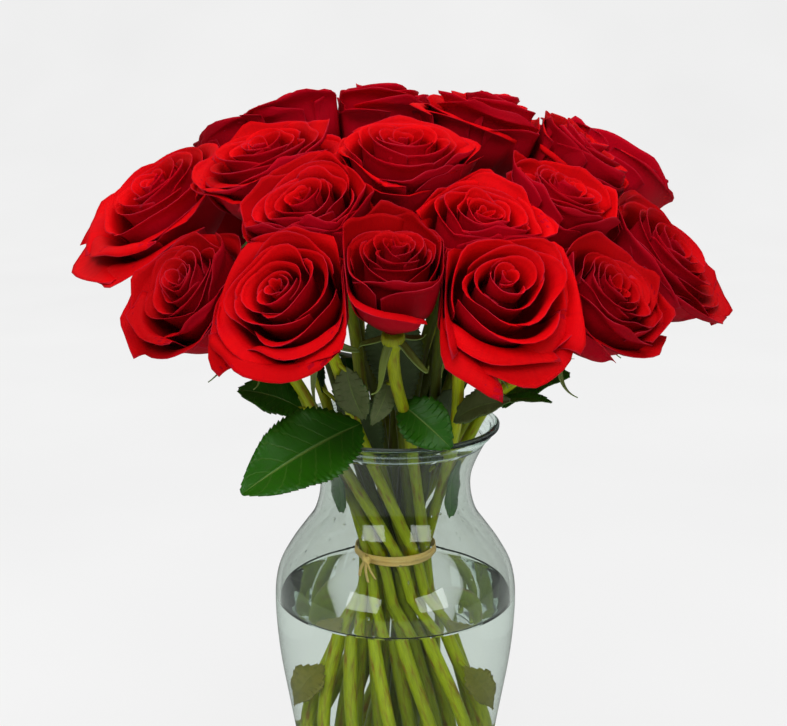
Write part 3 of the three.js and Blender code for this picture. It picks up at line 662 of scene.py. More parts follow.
def stem_path(rose):
    """The stem's line from foot to bloom, and its radius at each point."""
    straight = fanned(in_bundle(rose["at_tie"], np.concatenate([
        np.linspace(FOOT_HEIGHT, TIE_HEIGHT - 4, 22),
        np.linspace(TIE_HEIGHT + 4, VASE_HEIGHT - 3, 9)])))
    height = straight[:, 2]
    knees = 1 + 0.07 * np.sin(height * 0.11 + rose["spin"]) * np.sin(height * 0.043)
    bend = stem_bend(rose)
    hip_at = np.linspace(0, 1, 9)[1:]
    hip = rose["hip"] - rose["axis"] * HIP_LENGTH * (1 - hip_at)[:, None]
    path = np.concatenate([straight, bend, hip])
    return path, np.concatenate([STEM_RADIUS * knees, np.full(len(bend), STEM_RADIUS),
                                 np.interp(hip_at, *HIP_RADII)])


def stem_point(rose, height):
    """The middle of a stem at a height."""
    if height <= VASE_HEIGHT:
        return fanned(in_bundle(rose["at_tie"], height))
    bend = stem_bend(rose, 200)
    return bend[np.argmin(np.abs(bend[:, 2] - height))]


lengths = [np.linalg.norm(np.diff(stem_path(rose)[0], axis=0), axis=1).sum() for rose in roses]
print("stems are", round(min(lengths)), "to", round(max(lengths)), "mm long")

# %% Stem material
# Painted shade: the inner rings' stems are painted darker, and more so higher in the neck.
SHADED = {"outer": 0.05, "middle": 0.75, "heart": 1.0}  # the inner rings stand in the dark


def stem_material():
    s = Shader("stem")
    uv = s.add("UVMap")[0]
    streak = s.noise(1.0, uv, 3.0, (3, 0.06, 1))
    patch = s.noise(22.0)
    fibre = s.noise(1.0, uv, 2.0, (22, 0.12, 1))
    colour = s.mix(patch, (0.30, 0.39, 0.004), (0.50, 0.56, 0.006))
    colour = s.mix(s.ramp(fibre, 0.3, 0.8, 0.0, 0.5), colour, (0.065, 0.11, 0.004))
    colour = s.mix(s.ramp(streak, 0.50, 0.68, 0.0, 0.75), colour, (0.24, 0.075, 0.010))
    # Painted shade: the shade attribute from stem_tube darkens the stem towards a near-black green.
    shade = s.math("MULTIPLY", s.attribute("deep"), 0.85)
    colour = s.mix(shade, colour, (0.020, 0.038, 0.003))
    return s.ends_in(s.principled(colour, 0.45, s.bump(fibre, 0.25, 0.0005), 0.2))


def stem_tube(rose):
    points, walls, ends, uv = tube(*stem_path(rose))
    shaded = SHADED[rose["ring"]] + 0.25 * math.sin(rose["number"] * 2.1)
    # Painted shade per point: more for the inner rings, and more from 120 mm up.
    deep = np.clip(shaded * (0.65 + 0.5 * smooth((points[:, 2] - 120) / 60)), 0, 1)
    return mesh_object(f"stem_tube_{rose['name']}", points, [walls, ends], stem_skin,
                       dict(deep=deep), uv)


stem_skin = stem_material()
print("stem material:", len(stem_skin.node_tree.nodes), "nodes")

# %% [markdown]
# ## Sepals
#
# Five narrow green sepals once closed the bud. On an open rose they hang back from the hip with
# curled, hair-thin tips. Each is a blade that tapers to nothing, drawn in the bloom's own terms,
# so that it keeps to the bloom's planes as the petals do. A stem and its sepals stand for one
# node of the CAD part, so they are made side by side.

# %% Sepals, and stems with them
SEPALS, SEPAL_LENGTHS, SEPAL_THICKNESS = 5, (25, 29, 33), 0.5


def sepal_material():
    s = Shader("sepal")
    rib = s.noise(1.0, s.add("UVMap")[0], 2.0, (9, 2, 1))
    colour = s.mix(rib, (0.07, 0.14, 0.012), (0.22, 0.32, 0.06))
    return s.ends_in(s.principled(colour, 0.5, s.bump(rib, 0.4, 0.0004)))


def sepal_sheet(rose, angle, length, curl):
    s = np.linspace(0, 1, 14)[:, None]
    across = np.linspace(-1, 1, 5)[None, :]
    half = 2.1 * (1 - s) ** 1.8 * (1 + 1.9 * s) + 0.12
    out = 2.2 + length * s * (1 - 0.12 * s ** 2)
    hanging = (0.12 * length + curl) * np.sin(s * 2.3)
    along = -2.2 - 1.5 * s - hanging + 0.3 * np.abs(across) * half
    sway = 0.10 * np.sin(s * 4 + curl)
    return bloom_point(rose, along, out + 0 * across, angle + sway + across * half / (out + 0.6))


def sepals(rose):
    blades = []
    for i in range(SEPALS):
        angle = rose["spin"] + ROUND * (i + 0.5) / SEPALS
        sheet = sepal_sheet(rose, angle, SEPAL_LENGTHS[i % 3], 3.0 + 2.0 * (i % 2))
        blades.append((*blade(sheet, SEPAL_THICKNESS), grid_uv(sheet)))
    points, quads, uv = joined(blades)
    return mesh_object(f"sepals_{rose['name']}", points, quads, sepal_skin, uv=uv)


sepal_skin = sepal_material()
for rose in roses:
    for piece in (stem_tube(rose), sepals(rose)):
        belongs(piece, f"stem_{rose['name']}")
print("stems:", len(roses), "with", SEPALS * len(roses), "sepals")

# %% [markdown]
# ## Where the leaves are
#
# Most leaves of a tied bouquet are stripped off below the blooms. What is left hangs over the
# vase's mouth or stands among the stems in its neck, and two have slipped into the water. The
# leaves that the photo shows are listed one by one. Those at the sides and back follow one rule,
# and those in the neck stand upright between the rings of stems, where the CAD part left room.

# %% Leaf places
WATER_LEVEL = 126.0

# rose, height on its stem, base, tip, width, face, arch
LEAVES = [
    (3, 223, (-16, -51, 228), (-66, -90, 208), 38, (0, -0.8, 0.6), 5),
    (2, 228, (-45, -28, 229), (-74, -31, 239), 24, (0, -0.6, 0.8), 3),
    (3, 260, (-22, -61, 257), (-14, -59, 233), 18, (-0.4, -0.9, 0), 2),
    (4, 252, (-3, -54, 250), (-11, -58, 230), 12, (0.5, -0.8, 0), 2),
    (4, 236, (2.4, -53.4, 238.6), (25, -62, 220), 24, (-0.2, -0.8, 0.6), 3),
    (5, 226, (27, -45, 228), (52, -55, 240), 20, (0.2, -0.5, 0.8), 3),
    (6, 232, (50, -26, 232), (73, -35, 234), 10, (0.1, -0.3, 0.9), 2),
    (7, 223, (50, 0, 225), (84, -17, 243), 31, (0.1, -0.5, 0.8), 4),
    (5, 208, (31, -22, 205), (27, -17, 171), 12, (0.8, -0.6, 0), -3),
    (2, 208, (-33, -18, 205), (-26, -19, 174), 12, (-0.8, -0.6, 0), -3),
    (9, 96, (-27, -4, 93), (-46, -11, 67), 19, (-0.3, -0.8, 0.5), 3),
    (3, 96, (27, -8, 93), (44, -14, 67), 17, (0.3, -0.8, 0.5), 3),
]
# At place 5 the paler colour is painted light: it lifts a leaf that the blooms shade.
TURNED = (2, 3, 5)  # places in this list whose pale undersides show
# the leaves at the sides and back
OUTWARD = dict(roses=(8, 10, 9, 11), height=232, stalk=9, length=48, width=31, drop=9, turn=14)
# roses, height of the stalk on the stem, distance from the axis at the tie, start, end, width
UPRIGHT = [
    ((14, 16, 19, 21), 192, 12.9, 198, 240, 24),
    ((12, 15, 18, 20), 221, 12.9, 228, 284, 27),
    ((23,), 203, 6.7, 209, 258, 22),
]


def outward_leaves():
    for i, number in enumerate(OUTWARD["roses"]):
        start = stem_point(roses[number - 1], OUTWARD["height"])
        turn = math.radians(-OUTWARD["turn"] if i % 2 else OUTWARD["turn"])
        out = unit(np.array([start[0], start[1], 0]))
        out = np.array([out[0] * math.cos(turn) - out[1] * math.sin(turn),
                        out[0] * math.sin(turn) + out[1] * math.cos(turn), 0])
        base = start + out * OUTWARD["stalk"]
        tip = base + out * OUTWARD["length"] - np.array([0, 0, OUTWARD["drop"]])
        yield number, OUTWARD["height"], base, tip, OUTWARD["width"], (0, 0, 1), 4


def upright_leaves():
    for numbers, height, out, start, end, width in UPRIGHT:
        for number in numbers:
            at_tie = unit(roses[number - 1]["at_tie"]) * out
            base, tip = in_bundle(at_tie, start), in_bundle(at_tie, end)
            inward = unit(-np.array([base[0] + tip[0], base[1] + tip[1], 0]))
            yield number, height, base, tip, width, inward, 0.5


outer_leaves, neck_leaves = LEAVES + list(outward_leaves()), list(upright_leaves())
print("leaves:", len(outer_leaves), "at the mouth and in the water,", len(neck_leaves), "in the neck")

# %% [markdown]
# ## What a leaf is made of
#
# The upper face of a rose leaf is dark and half glossy, the under face paler and dull. A pale
# midrib runs to the tip, and side veins run from it towards the teeth. They could be modelled as
# ridges, but they are finer than the mesh, so the shader draws and raises them, from how far
# along and across the leaf a point is. Leaves under water have turned olive and brown.

# %% Leaf material


def leaf_material():
    s = Shader("leaf")
    back, inside = s.attribute("back"), s.attribute("inside")
    from_midrib = s.math("ABSOLUTE", s.attribute("across"))
    slanted = s.math("SUBTRACT", s.math("MULTIPLY", s.attribute("rise"), 8.5),
                     s.math("MULTIPLY", from_midrib, 1.7))
    from_vein = s.math("ABSOLUTE", s.math("SUBTRACT", s.math("FRACT", slanted), 0.5))
    side_vein = s.math("MULTIPLY", s.ramp(from_vein, 0.0, 0.10, 1.0, 0.0), 0.2)
    vein = s.math("MAXIMUM", side_vein, s.ramp(from_midrib, 0.01, 0.055, 1.0, 0.0))
    net = s.noise(420.0)
    patch = s.noise(35.0, detail=3.0)
    upper = s.mix(patch, (0.010, 0.082, 0.002), (0.028, 0.155, 0.004))
    lower = s.mix(patch, (0.10, 0.135, 0.045), (0.15, 0.19, 0.07))
    olive = s.mix(patch, (0.14, 0.16, 0.02), (0.34, 0.26, 0.05))
    colour = s.mix(back, upper, lower)
    colour = s.mix(s.math("MULTIPLY", vein, 0.6), colour, (0.19, 0.31, 0.06))
    colour = s.mix(s.math("MULTIPLY", s.attribute("old"), 0.85), colour, olive)
    colour = s.mix(s.ramp(net, 0.45, 0.7, 0.0, 0.25), colour, (0.03, 0.08, 0.012))
    # Painted shade: the upright leaves in the neck are darkened towards a near-black green.
    colour = s.mix(inside, colour, (0.006, 0.026, 0.003))
    bump = s.bump(s.math("SUBTRACT", s.math("MULTIPLY", net, 0.3), vein), 0.5, 0.0006)
    skin = s.principled(colour, s.ramp(back, 0.0, 1.0, 0.38, 0.6), bump, 0.22)
    glow = s.add("BsdfTranslucent", {"Color": s.mix(0.5, colour, (0.20, 0.42, 0.03))})[0]
    through = s.math("MULTIPLY", s.math("SUBTRACT", 1.0, inside), 0.12)
    return s.ends_in(s.blend(through, skin, glow))


leaf_skin = leaf_material()
print("leaf material:", len(leaf_skin.node_tree.nodes), "nodes")

# %% [markdown]
# ## Leaves
#
# A rose leaflet is an oval with a pointed tip and a saw edge, folded a little along its midrib.
# A cut-out picture on a plane is the usual short way, but its edge has no thickness. Here the
# teeth are in the mesh: the grid has several rows to a tooth, and its half width drops at each.
# Leaves that stand or hang straight in the neck are fuller ovals than those that arch over the
# mouth, and the leaves in the water are shrunken and ragged.

# %% Leaf shape
LEAF_GRID = (73, 11)  # along, across
LEAF_THICKNESS = 0.45
TOOTH_LENGTH = 2.6
ARCHED = 1  # leaves that rise less than this over their length count as straight


def half_width(v, saw, number, height, width, full):
    """Half a leaf's width from its base, at v = 0, to its tip."""
    widest_late, bluntness = (1.5, 0.45) if full else (0.85, 0.75)
    oval = np.sin(np.pi * np.minimum(0.985, v ** widest_late)) ** bluntness
    if height < WATER_LEVEL:
        ragged = 1 + 0.09 * np.sin(v * 17 + number) + 0.04 * np.sin(v * 47)
        oval = 0.8 * oval ** 1.6 * ragged
    return np.maximum(width / 2 * oval * (1 - 0.10 * saw), 0.5)


def leaf_pieces(number, height, base, tip, width, face, arch):
    """A leaf's middle surface as a grid, and the line of its stalk."""
    base, tip, face = (np.asarray(v, float) for v in (base, tip, face))
    anchor = stem_point(roses[number - 1], height)
    length = np.linalg.norm(tip - base)
    forward = unit(tip - base)
    side = unit(np.cross(forward, face))
    lift = np.cross(side, forward)
    v = np.linspace(0, 1, LEAF_GRID[0])[:, None]
    u = np.linspace(-1, 1, LEAF_GRID[1])[None, :]
    teeth = max(9, int(length / TOOTH_LENGTH))
    saw = (v * teeth) % 1.0
    half = half_width(v, saw, number, height, width, full=arch < ARCHED)
    ripple = 0.5 * np.sin(v * 17 + number) * np.abs(u) ** 2 * width / 20
    middle = base + forward * (v * length)[..., None] + lift * (4 * arch * v * (1 - v))[..., None]
    points_on = forward * (np.abs(u) ** 3 * (saw - 0.3) * length / teeth * 0.6)[..., None]
    folded = lift * (np.abs(u) * half * 0.22 + ripple)[..., None]
    sheet = middle + side * (u * half)[..., None] + folded + points_on
    stalk_way = unit(base - anchor)
    start = anchor + stalk_way
    stalk = np.linspace(0, 1, 8)[:, None] * (base + forward * 2 - start) + start
    return sheet, stalk


print("rows of a leaf's grid:", LEAF_GRID[0])

# %% Leaves and their stalks
STALK_RADII, STALK_SIDES = (1.3, 0.8), 8
# IN_THE_NECK sets how much painted shade darkens the upright leaves.
IN_THE_NECK = 0.7  # how dark the upright leaves between the stems are

across, rise = np.meshgrid(np.linspace(-1, 1, LEAF_GRID[1]), np.linspace(0, 1, LEAF_GRID[0]))
for place, leaf in enumerate(outer_leaves + neck_leaves):
    number, height = leaf[:2]
    sheet, stalk = leaf_pieces(*leaf)
    both, quads = blade(sheet, LEAF_THICKNESS)
    values = dict(across=np.tile(across.ravel(), 2), rise=np.tile(rise.ravel(), 2),
                  back=np.repeat([1.0, 0.0] if place in TURNED else [0.0, 1.0], across.size),
                  old=np.full(2 * across.size, float(height < WATER_LEVEL)),
                  inside=np.full(2 * across.size, 0.0 if place < len(outer_leaves) else IN_THE_NECK))
    node = f"stem_{number:02d}"
    belongs(mesh_object(f"leaf_{place + 1:02d}", both, quads, leaf_skin, values, grid_uv(sheet)),
            node)
    points, walls, ends, uv = tube(stalk, np.linspace(*STALK_RADII, len(stalk)), STALK_SIDES)
    belongs(mesh_object(f"leaf_stalk_{place + 1:02d}", points, [walls, ends], stem_skin, uv=uv),
            node)
print("leaves and stalks:", place + 1)

# %% [markdown]
# ## The outlines of the vase and the water
#
# The vase is blown glass: a thick floor, a round body, a narrow neck and a mouth that flares to a
# fire-polished rim. A Screw modifier could turn its outline, but the turned mesh is as short to
# write, and it is closed at the axis with no doubled points. The wall's inside is the outline
# moved in by its thickness, and the water's side is moved in a little further, so that no two
# faces lie in one place.

# %% Turned shapes
LATHE_STEPS = 160


def rounded(points, steps=6):
    """A smooth line through the points (Catmull-Rom)."""
    p = np.asarray(points, float)
    p = np.concatenate([2 * p[:1] - p[1:2], p, 2 * p[-1:] - p[-2:-1]])
    t = np.linspace(0, 1, steps, endpoint=False)[:, None]
    runs = [0.5 * (2 * b + (c - a) * t + (2 * a - 5 * b + 4 * c - d) * t ** 2
                   + (3 * b - a - 3 * c + d) * t ** 3)
            for a, b, c, d in zip(p, p[1:], p[2:], p[3:])]
    return np.concatenate(runs + [p[-2:-1]])


def inset(line, distance):
    run = unit(np.gradient(line, axis=0))
    return line + distance * np.stack([-run[:, 1], run[:, 0]], -1)


def between(line, low, high):
    """The points of a line whose heights are between two levels."""
    return line[(line[:, 1] > low) & (line[:, 1] < high)]


def lathe(profile):
    """A closed skin turned round Z from a profile that starts and ends on the axis."""
    profile = np.asarray(profile, float)
    ring = profile[1:-1]
    angles = np.linspace(0, 2 * np.pi, LATHE_STEPS, endpoint=False)
    points = np.stack([ring[:, :1] * np.cos(angles), ring[:, :1] * np.sin(angles),
                       np.broadcast_to(ring[:, 1:], (len(ring), LATHE_STEPS))], -1).reshape(-1, 3)
    points = np.concatenate([points, [[0, 0, profile[0, 1]], [0, 0, profile[-1, 1]]]])
    hub = len(ring) * LATHE_STEPS
    index = np.arange(hub).reshape(len(ring), LATHE_STEPS)
    after = np.roll(index, -1, axis=1)
    walls = np.stack([index[:-1], after[:-1], after[1:], index[1:]], -1).reshape(-1, 4)
    caps = [np.stack([np.full(LATHE_STEPS, hub), after[0], index[0]], -1),
            np.stack([np.full(LATHE_STEPS, hub + 1), index[-1], after[-1]], -1)]
    return points, [walls] + caps


print("a turned shape has", LATHE_STEPS, "faces round")

# %% Outlines of the vase and the water
# distance from the axis, height
OUTLINE = [(42, 0), (44.4, 1.8), (46.8, 16), (55.3, 66), (60, 96), (61.7, 122), (59.9, 138),
           (53.8, 150), (46.7, 160), (41.3, 168), (38.2, 179), (38.4, 190), (43, 202), (50, 214)]
WALL, FLAT_FLOOR = 2.3, 40.5
BEAD_HEIGHT, BEAD_HALF = 210.5, 1.5  # a slight bead under the rim

outer_line = rounded(OUTLINE)
outer_line = outer_line[outer_line[:, 1] >= 0]
inner_line = between(inset(outer_line, WALL), 13, 212.5)
outer_line[:, 0] += np.exp(-(((outer_line[:, 1] - BEAD_HEIGHT) / BEAD_HALF) ** 2))
rim_line = [(51.9, 213.8), (52.0, 215.0), (51.0, 215.8), (50.2, VASE_HEIGHT), (49.3, 215.8),
            (48.7, 215.1)]
floor_line = [(FLAT_FLOOR + 3.1, 11), (FLAT_FLOOR + 2.1, 9.2), (FLAT_FLOOR, 8.1), (20, 7.9)]
vase_profile = np.concatenate(
    [[(0, 0)], outer_line, rim_line, inner_line[::-1], floor_line, [(0, 7.8)]])

water_side = between(inset(outer_line, WALL + 0.3), 13, WATER_LEVEL - 1.5)
edge = water_side[-1, 0]
floor_side = [(FLAT_FLOOR - 0.3, 8.4), (FLAT_FLOOR + 1.7, 9.5), (FLAT_FLOOR + 2.7, 11.2)]
# out from the edge of the water, up from its level: the meniscus and the flat top
top_line = [(0, -0.2), (0, 0.4), (-0.7, -0.4), (-1.8, -0.9), (-4, -1.0), (20 - edge, -1.0)]
water_profile = np.concatenate(
    [[(0, 8.2)], floor_side, water_side, [(edge + out, WATER_LEVEL + up) for out, up in top_line],
     [(0, WATER_LEVEL - 1.0)]])
print("vase outline:", len(vase_profile), "points; water:", len(water_profile), "points")

# %% [markdown]
# ## Clear materials
#
# Light bends at each change from one clear stuff to another, by the ratio of the two. Where water
# stands against glass that ratio is near one, so the inner wall below the water has a glass
# shader of its own, and the water bends light only at its top. With one shader for all the glass
# the light would bend there as in air, and the stems under water would look too thin. The curled
# edge of the water bends light away from the eye and reads as a dark line; that line is painted,
# as a dark tint on the meniscus that lets light straight through.
# Glass shaders block light in Cycles unless caustics are traced, so shadow rays pass as through a
# tinted pane. Slow noise tints and ripples the glass, since blown glass is never quite even.

# %% Clear materials


def clear_material(name, ior, tint_a, tint_b, ripple, glint=0.0):
    """Clear glass or water, with thin pale streaks of painted highlight where it is thick and
    polished.
    """
    s = Shader(name)
    wave = s.noise(18.0, detail=1.0)
    bend = s.add("BsdfGlass", {"Color": s.mix(wave, tint_a, tint_b), "Roughness": 0.0, "IOR": ior,
                               "Normal": s.bump(wave, ripple, 0.002)})[0]
    clear = s.add("BsdfTransparent", {"Color": s.mix(wave, tint_a, tint_b)})[0]
    if glint:
        # Painted highlight: pale streaks round the rim, mixed in as a plain diffuse.
        glint_colour = s.mix(wave, (0.42, 0.56, 0.52), (0.60, 0.70, 0.67))
        glint_streaks = s.ramp(s.noise(1.0, None, 1.0, (5, 5, 620)), 0.46, 0.72, 0.0, glint)
        bend = s.blend(glint_streaks, bend, s.add("BsdfDiffuse", {"Color": glint_colour})[0])
    return s.ends_in(s.blend(s.add("LightPath")["Is Shadow Ray"], bend, clear))


def unbent_material(name, scale, tint_a, tint_b):
    """Lets light straight through, tinted."""
    s = Shader(name)
    tint = s.mix(s.noise(scale, detail=1.0), tint_a, tint_b)
    return s.ends_in(s.add("BsdfTransparent", {"Color": tint})[0])


WATER_TINTS = (0.96, 0.98, 0.97), (0.98, 0.99, 0.985)
glass = clear_material("glass", 1.46, (0.835, 0.865, 0.842), (0.865, 0.895, 0.872), 0.05)
rim_glass = clear_material("glass_rim", 1.30, (0.86, 0.92, 0.895), (0.90, 0.95, 0.93), 0.03, 0.5)
wet_glass = clear_material("glass_against_water", 1.10, *WATER_TINTS, 0.05)
water_top = clear_material("water_top", 1.33, *WATER_TINTS, 0.25)
water_side_skin = unbent_material("water_against_glass", 30.0, (0.965, 0.985, 0.975), (0.99, 1, 0.995))
# Painted shade: the meniscus is a dark tint, in place of the light that its curl bends away.
meniscus = unbent_material("meniscus", 40.0, (0.05, 0.06, 0.05), (0.22, 0.25, 0.22))
print("clear materials:", glass.name, rim_glass.name, wet_glass.name, water_top.name)

# %% [markdown]
# ## Vase and water
#
# Three kinds of glass could be three objects, but then light would meet faces where they part.
# Faces of one mesh can have different materials, and which one a face gets follows from where
# its middle is and which way it looks: wet below the water on the inside, polished at the rim,
# where pale streaks are painted highlights.

# %% Vase and water
RIM_FROM = 207


def set_faces(piece, material, chosen):
    """Gives the faces whose middle and normal satisfy a test a further material."""
    mesh = piece.data
    mesh.materials.append(material)
    middles = np.empty(len(mesh.polygons) * 3)
    normals = np.empty(len(mesh.polygons) * 3)
    mesh.polygons.foreach_get("center", middles)
    mesh.polygons.foreach_get("normal", normals)
    picked = chosen(middles.reshape(-1, 3) * 1000, normals.reshape(-1, 3))
    index = np.zeros(len(mesh.polygons), np.int32)
    mesh.polygons.foreach_get("material_index", index)
    index[picked] = len(mesh.materials) - 1
    mesh.polygons.foreach_set("material_index", index)
    return picked.sum()


def wetted(middles, normals):
    """The inside of the wall and the floor, below the water."""
    height = middles[:, 2]
    inward = (middles[:, :2] * normals[:, :2]).sum(axis=1) < 0
    return (height < WATER_LEVEL) & (height > 5) & (inward | (normals[:, 2] > 0.5))


vase = mesh_object("vase_glass", *lathe(vase_profile), glass)
wet = set_faces(vase, wet_glass, wetted)
set_faces(vase, rim_glass, lambda middles, normals: middles[:, 2] > RIM_FROM)
belongs(vase, "vase")

water = mesh_object("water_body", *lathe(water_profile), water_top)
set_faces(water, water_side_skin, lambda middles, normals: middles[:, 2] < WATER_LEVEL - 1.4)
set_faces(water, meniscus, lambda middles, normals: middles[:, 2] > WATER_LEVEL - 0.15)
belongs(water, "water")
print("vase wall", WALL, "mm, water up to", WATER_LEVEL, "mm,", wet, "faces of the glass are wet")

# %% [markdown]
# ## Drops on the glass
#
# Where the vase was filled, small drops cling to the inside of the glass above the water. They
# repeat over a surface, so a geometry node tree scatters them: it spreads points over a copy of
# the dry wall, puts a flattened ball on each, and turns the result into one plain mesh. Particles
# could do the same, but their result is harder to keep.

# %% Drops by geometry nodes
DROP_RADIUS, DROP_FLATNESS, DROP_OFF_WALL = 0.8, 0.4, 0.4
BALL_FACES = 80  # of an ico sphere with two subdivisions
DROPS_PER_SQUARE_METRE = 3900.0
DROPS_FROM, DROPS_TO = WATER_LEVEL + 4, 182.0


def drops_tree():
    """The tree, and the identifiers of its named inputs."""
    tree = bpy.data.node_groups.new("drops on a wall", "GeometryNodeTree")
    tree.interface.new_socket("Wall", in_out="INPUT", socket_type="NodeSocketGeometry")
    kinds = {"Drops per square metre": "Float", "Radius": "Float", "Seed": "Int", "Finish": "Material"}
    named = {title: tree.interface.new_socket(title, in_out="INPUT",
                                              socket_type="NodeSocket" + kind).identifier
             for title, kind in kinds.items()}
    tree.interface.new_socket("Drops", in_out="OUTPUT", socket_type="NodeSocketGeometry")
    given = add_node(tree, "NodeGroupInput")
    spots = add_node(tree, "GeometryNodeDistributePointsOnFaces", {
        "Mesh": given["Wall"], "Density": given["Drops per square metre"], "Seed": given["Seed"]})
    ball = add_node(tree, "GeometryNodeMeshIcoSphere", {"Radius": given["Radius"], "Subdivisions": 2})
    flat = add_node(tree, "GeometryNodeTransform", {
        "Geometry": ball[0], "Scale": (1.0, 1.0, DROP_FLATNESS)})
    sizes = add_node(tree, "FunctionNodeRandomValue", {
        0: (0.45, 0.45, 0.7), 1: (1.1, 1.5, 1.1), "Seed": given["Seed"]}, data_type="FLOAT_VECTOR")
    placed = add_node(tree, "GeometryNodeInstanceOnPoints", {
        "Points": spots["Points"], "Instance": flat[0], "Rotation": spots["Rotation"],
        "Scale": sizes[0]})
    plain = add_node(tree, "GeometryNodeRealizeInstances", {"Geometry": placed[0]})
    even = add_node(tree, "GeometryNodeSetShadeSmooth", {"Geometry": plain[0]})
    finished = add_node(tree, "GeometryNodeSetMaterial", {
        "Geometry": even[0], "Material": given["Finish"]})
    add_node(tree, "NodeGroupOutput", {"Drops": finished[0]})
    return tree, named


dry_wall = between(inner_line, DROPS_FROM, DROPS_TO) - (DROP_OFF_WALL, 0)
points, faces = lathe([(0, dry_wall[0, 1]), *dry_wall, (0, dry_wall[-1, 1])])
drops = mesh_object("drops_on_glass", points, faces[0], water_top)
scatter = drops.modifiers.new("drops", "NODES")
scatter.node_group, named = drops_tree()
for title, value in (("Drops per square metre", DROPS_PER_SQUARE_METRE),
                     ("Radius", DROP_RADIUS * 0.001), ("Seed", 5), ("Finish", water_top)):
    scatter[named[title]] = value
evaluated = drops.evaluated_get(bpy.context.evaluated_depsgraph_get())
drops_mesh = bpy.data.meshes.new_from_object(evaluated)
drops.modifiers.clear()
drops.data = drops_mesh
belongs(drops, "water")
print("drops:", len(drops_mesh.polygons) // BALL_FACES)

# %% [markdown]
# ## Raffia tie
#
# Raffia is a flat strip of dried palm leaf, the colour of straw. A few turns lie over each other
# round the stems, and a small knot at the front left leaves three short tails. Curves with a flat
# bevel twist where they turn sharply; here each strip is a sheet along its path, with the
# direction across it given at every point, so the strips lie flat against the stems.

# %% Raffia material and strips
STRIP_THICKNESS, BAND_WIDTH, LOOP_WIDTH = 0.45, 2.0, 2.6


def raffia_material():
    s = Shader("raffia")
    fibre = s.noise(1.0, s.add("UVMap")[0], 4.0, (14, 0.15, 1))
    colour = s.mix(fibre, (0.90, 0.48, 0.08), (1.0, 0.84, 0.36))
    colour = s.mix(s.ramp(s.noise(120.0), 0.45, 0.75, 0.0, 0.4), colour, (0.95, 0.50, 0.10))
    return s.ends_in(s.principled(colour, 0.6, s.bump(fibre, 0.8, 0.0005)))


def strip(path, ways, width):
    """A flat strip along a path; ways are the directions across it."""
    sheet = path[:, None, :] + np.linspace(-0.5, 0.5, 3)[None, :, None] * width * ways[:, None, :]
    length = np.linalg.norm(np.diff(path, axis=0), axis=1).sum()
    return *blade(sheet, STRIP_THICKNESS), grid_uv(sheet, (1, length))


raffia_skin = raffia_material()
print("raffia strips:", BAND_WIDTH, "by", STRIP_THICKNESS, "mm")

# %% Band, knot and tails
BAND_INNER, KNOT_BEARING, KNOT_UP = 19.3, -40, 3.0
# up from the tie, tilt of the turn, distance out
BAND = [(1.8, 0.5, 0.5), (3.2, -0.6, 0.75), (4.2, 0.6, 1.05), (2.6, 0.8, 1.3)]
KNOT_LOOPS = (0.5, -0.7, 2.1)  # tilts of three loops, in radians
TAILS = [(-5, 10), (0.6, 12), (5.4, 9)]  # sideways, down


def band_turns():
    for turn, (level, tilt, out) in enumerate(BAND):
        angle = np.linspace(0, 2 * np.pi * 1.02, 90) + turn * 1.7
        radius = BAND_INNER + out
        height = TIE_HEIGHT + level + tilt * np.sin(angle + turn)
        path = np.stack([radius * np.cos(angle), radius * np.sin(angle), height], -1)
        ways = np.stack([0.15 * np.cos(angle * 3 + turn), 0.15 * np.sin(angle * 3),
                         np.ones_like(angle)], -1)
        yield strip(path, unit(ways), BAND_WIDTH)


def knot_and_tails():
    outward, sideways = facing(KNOT_BEARING, 90), facing(KNOT_BEARING + 90, 90)
    up = np.array([0, 0, 1.0])
    place = outward * (BAND_INNER + 3.1) + up * (TIE_HEIGHT + KNOT_UP)
    for tilt in KNOT_LOOPS:
        angle = np.linspace(0, 2 * np.pi, 40)
        flat = math.cos(tilt) * sideways + math.sin(tilt) * up
        path = place + 2.3 * np.cos(angle)[:, None] * flat + 1.6 * np.sin(angle)[:, None] * outward
        yield strip(path, np.tile(np.cross(flat, outward), (40, 1)), LOOP_WIDTH)
    for across, drop in TAILS:
        t = np.linspace(0, 1, 16)[:, None]
        path = (place + sideways * across * t + up * -drop * t ** 1.2
                + outward * (1.2 * np.sin(t * 3) - 0.6 * t))
        yield strip(path, np.tile(unit(sideways + 0.3 * outward), (16, 1)), BAND_WIDTH)


points, quads, uv = joined([*band_turns(), *knot_and_tails()])
belongs(mesh_object("raffia_strips", points, quads, raffia_skin, uv=uv), "raffia_tie")
print("raffia:", len(BAND), "turns, a knot and", len(TAILS), "tails")

# %% [markdown]
# ## Camera
#
# The photo was taken from the height of the topmost bloom, a little over half a metre away,
# looking some 13 degrees down. The camera has that place and angle, so that a render can be laid
# over the photo. Colours are shown as they are, without a film look.

# %% Camera
CAMERA_PLACE, CAMERA_DOWN = (0, -0.576, 0.379), 13.11
LENS, SENSOR, SHIFT = 54.66, 36, -0.0024

scene = bpy.context.scene
scene.view_settings.view_transform = "Standard"
camera_data = bpy.data.cameras.new("camera")
camera = bpy.data.objects.new("camera", camera_data)
scene.collection.objects.link(camera)
camera.location = CAMERA_PLACE
camera.rotation_euler = (math.radians(90 - CAMERA_DOWN), 0, 0)
camera_data.lens, camera_data.sensor_width, camera_data.shift_x = LENS, SENSOR, SHIFT
camera_data.clip_start = 0.02
scene.camera = camera
print("camera:", LENS, "mm lens,", CAMERA_DOWN, "degrees down")

# %% [markdown]
# ## Light
#
# Three large soft lights shade the petals. The pale patches on the glass are reflections of two
# windows. One set of lights could do both, but then the patches would lie where the shading wants
# the lights, so the two windows are seen only in reflections and refractions, and the soft
# lights never are. The world is brightest behind the vase, which clear glass shows through, and
# dim behind the camera, which it mirrors.

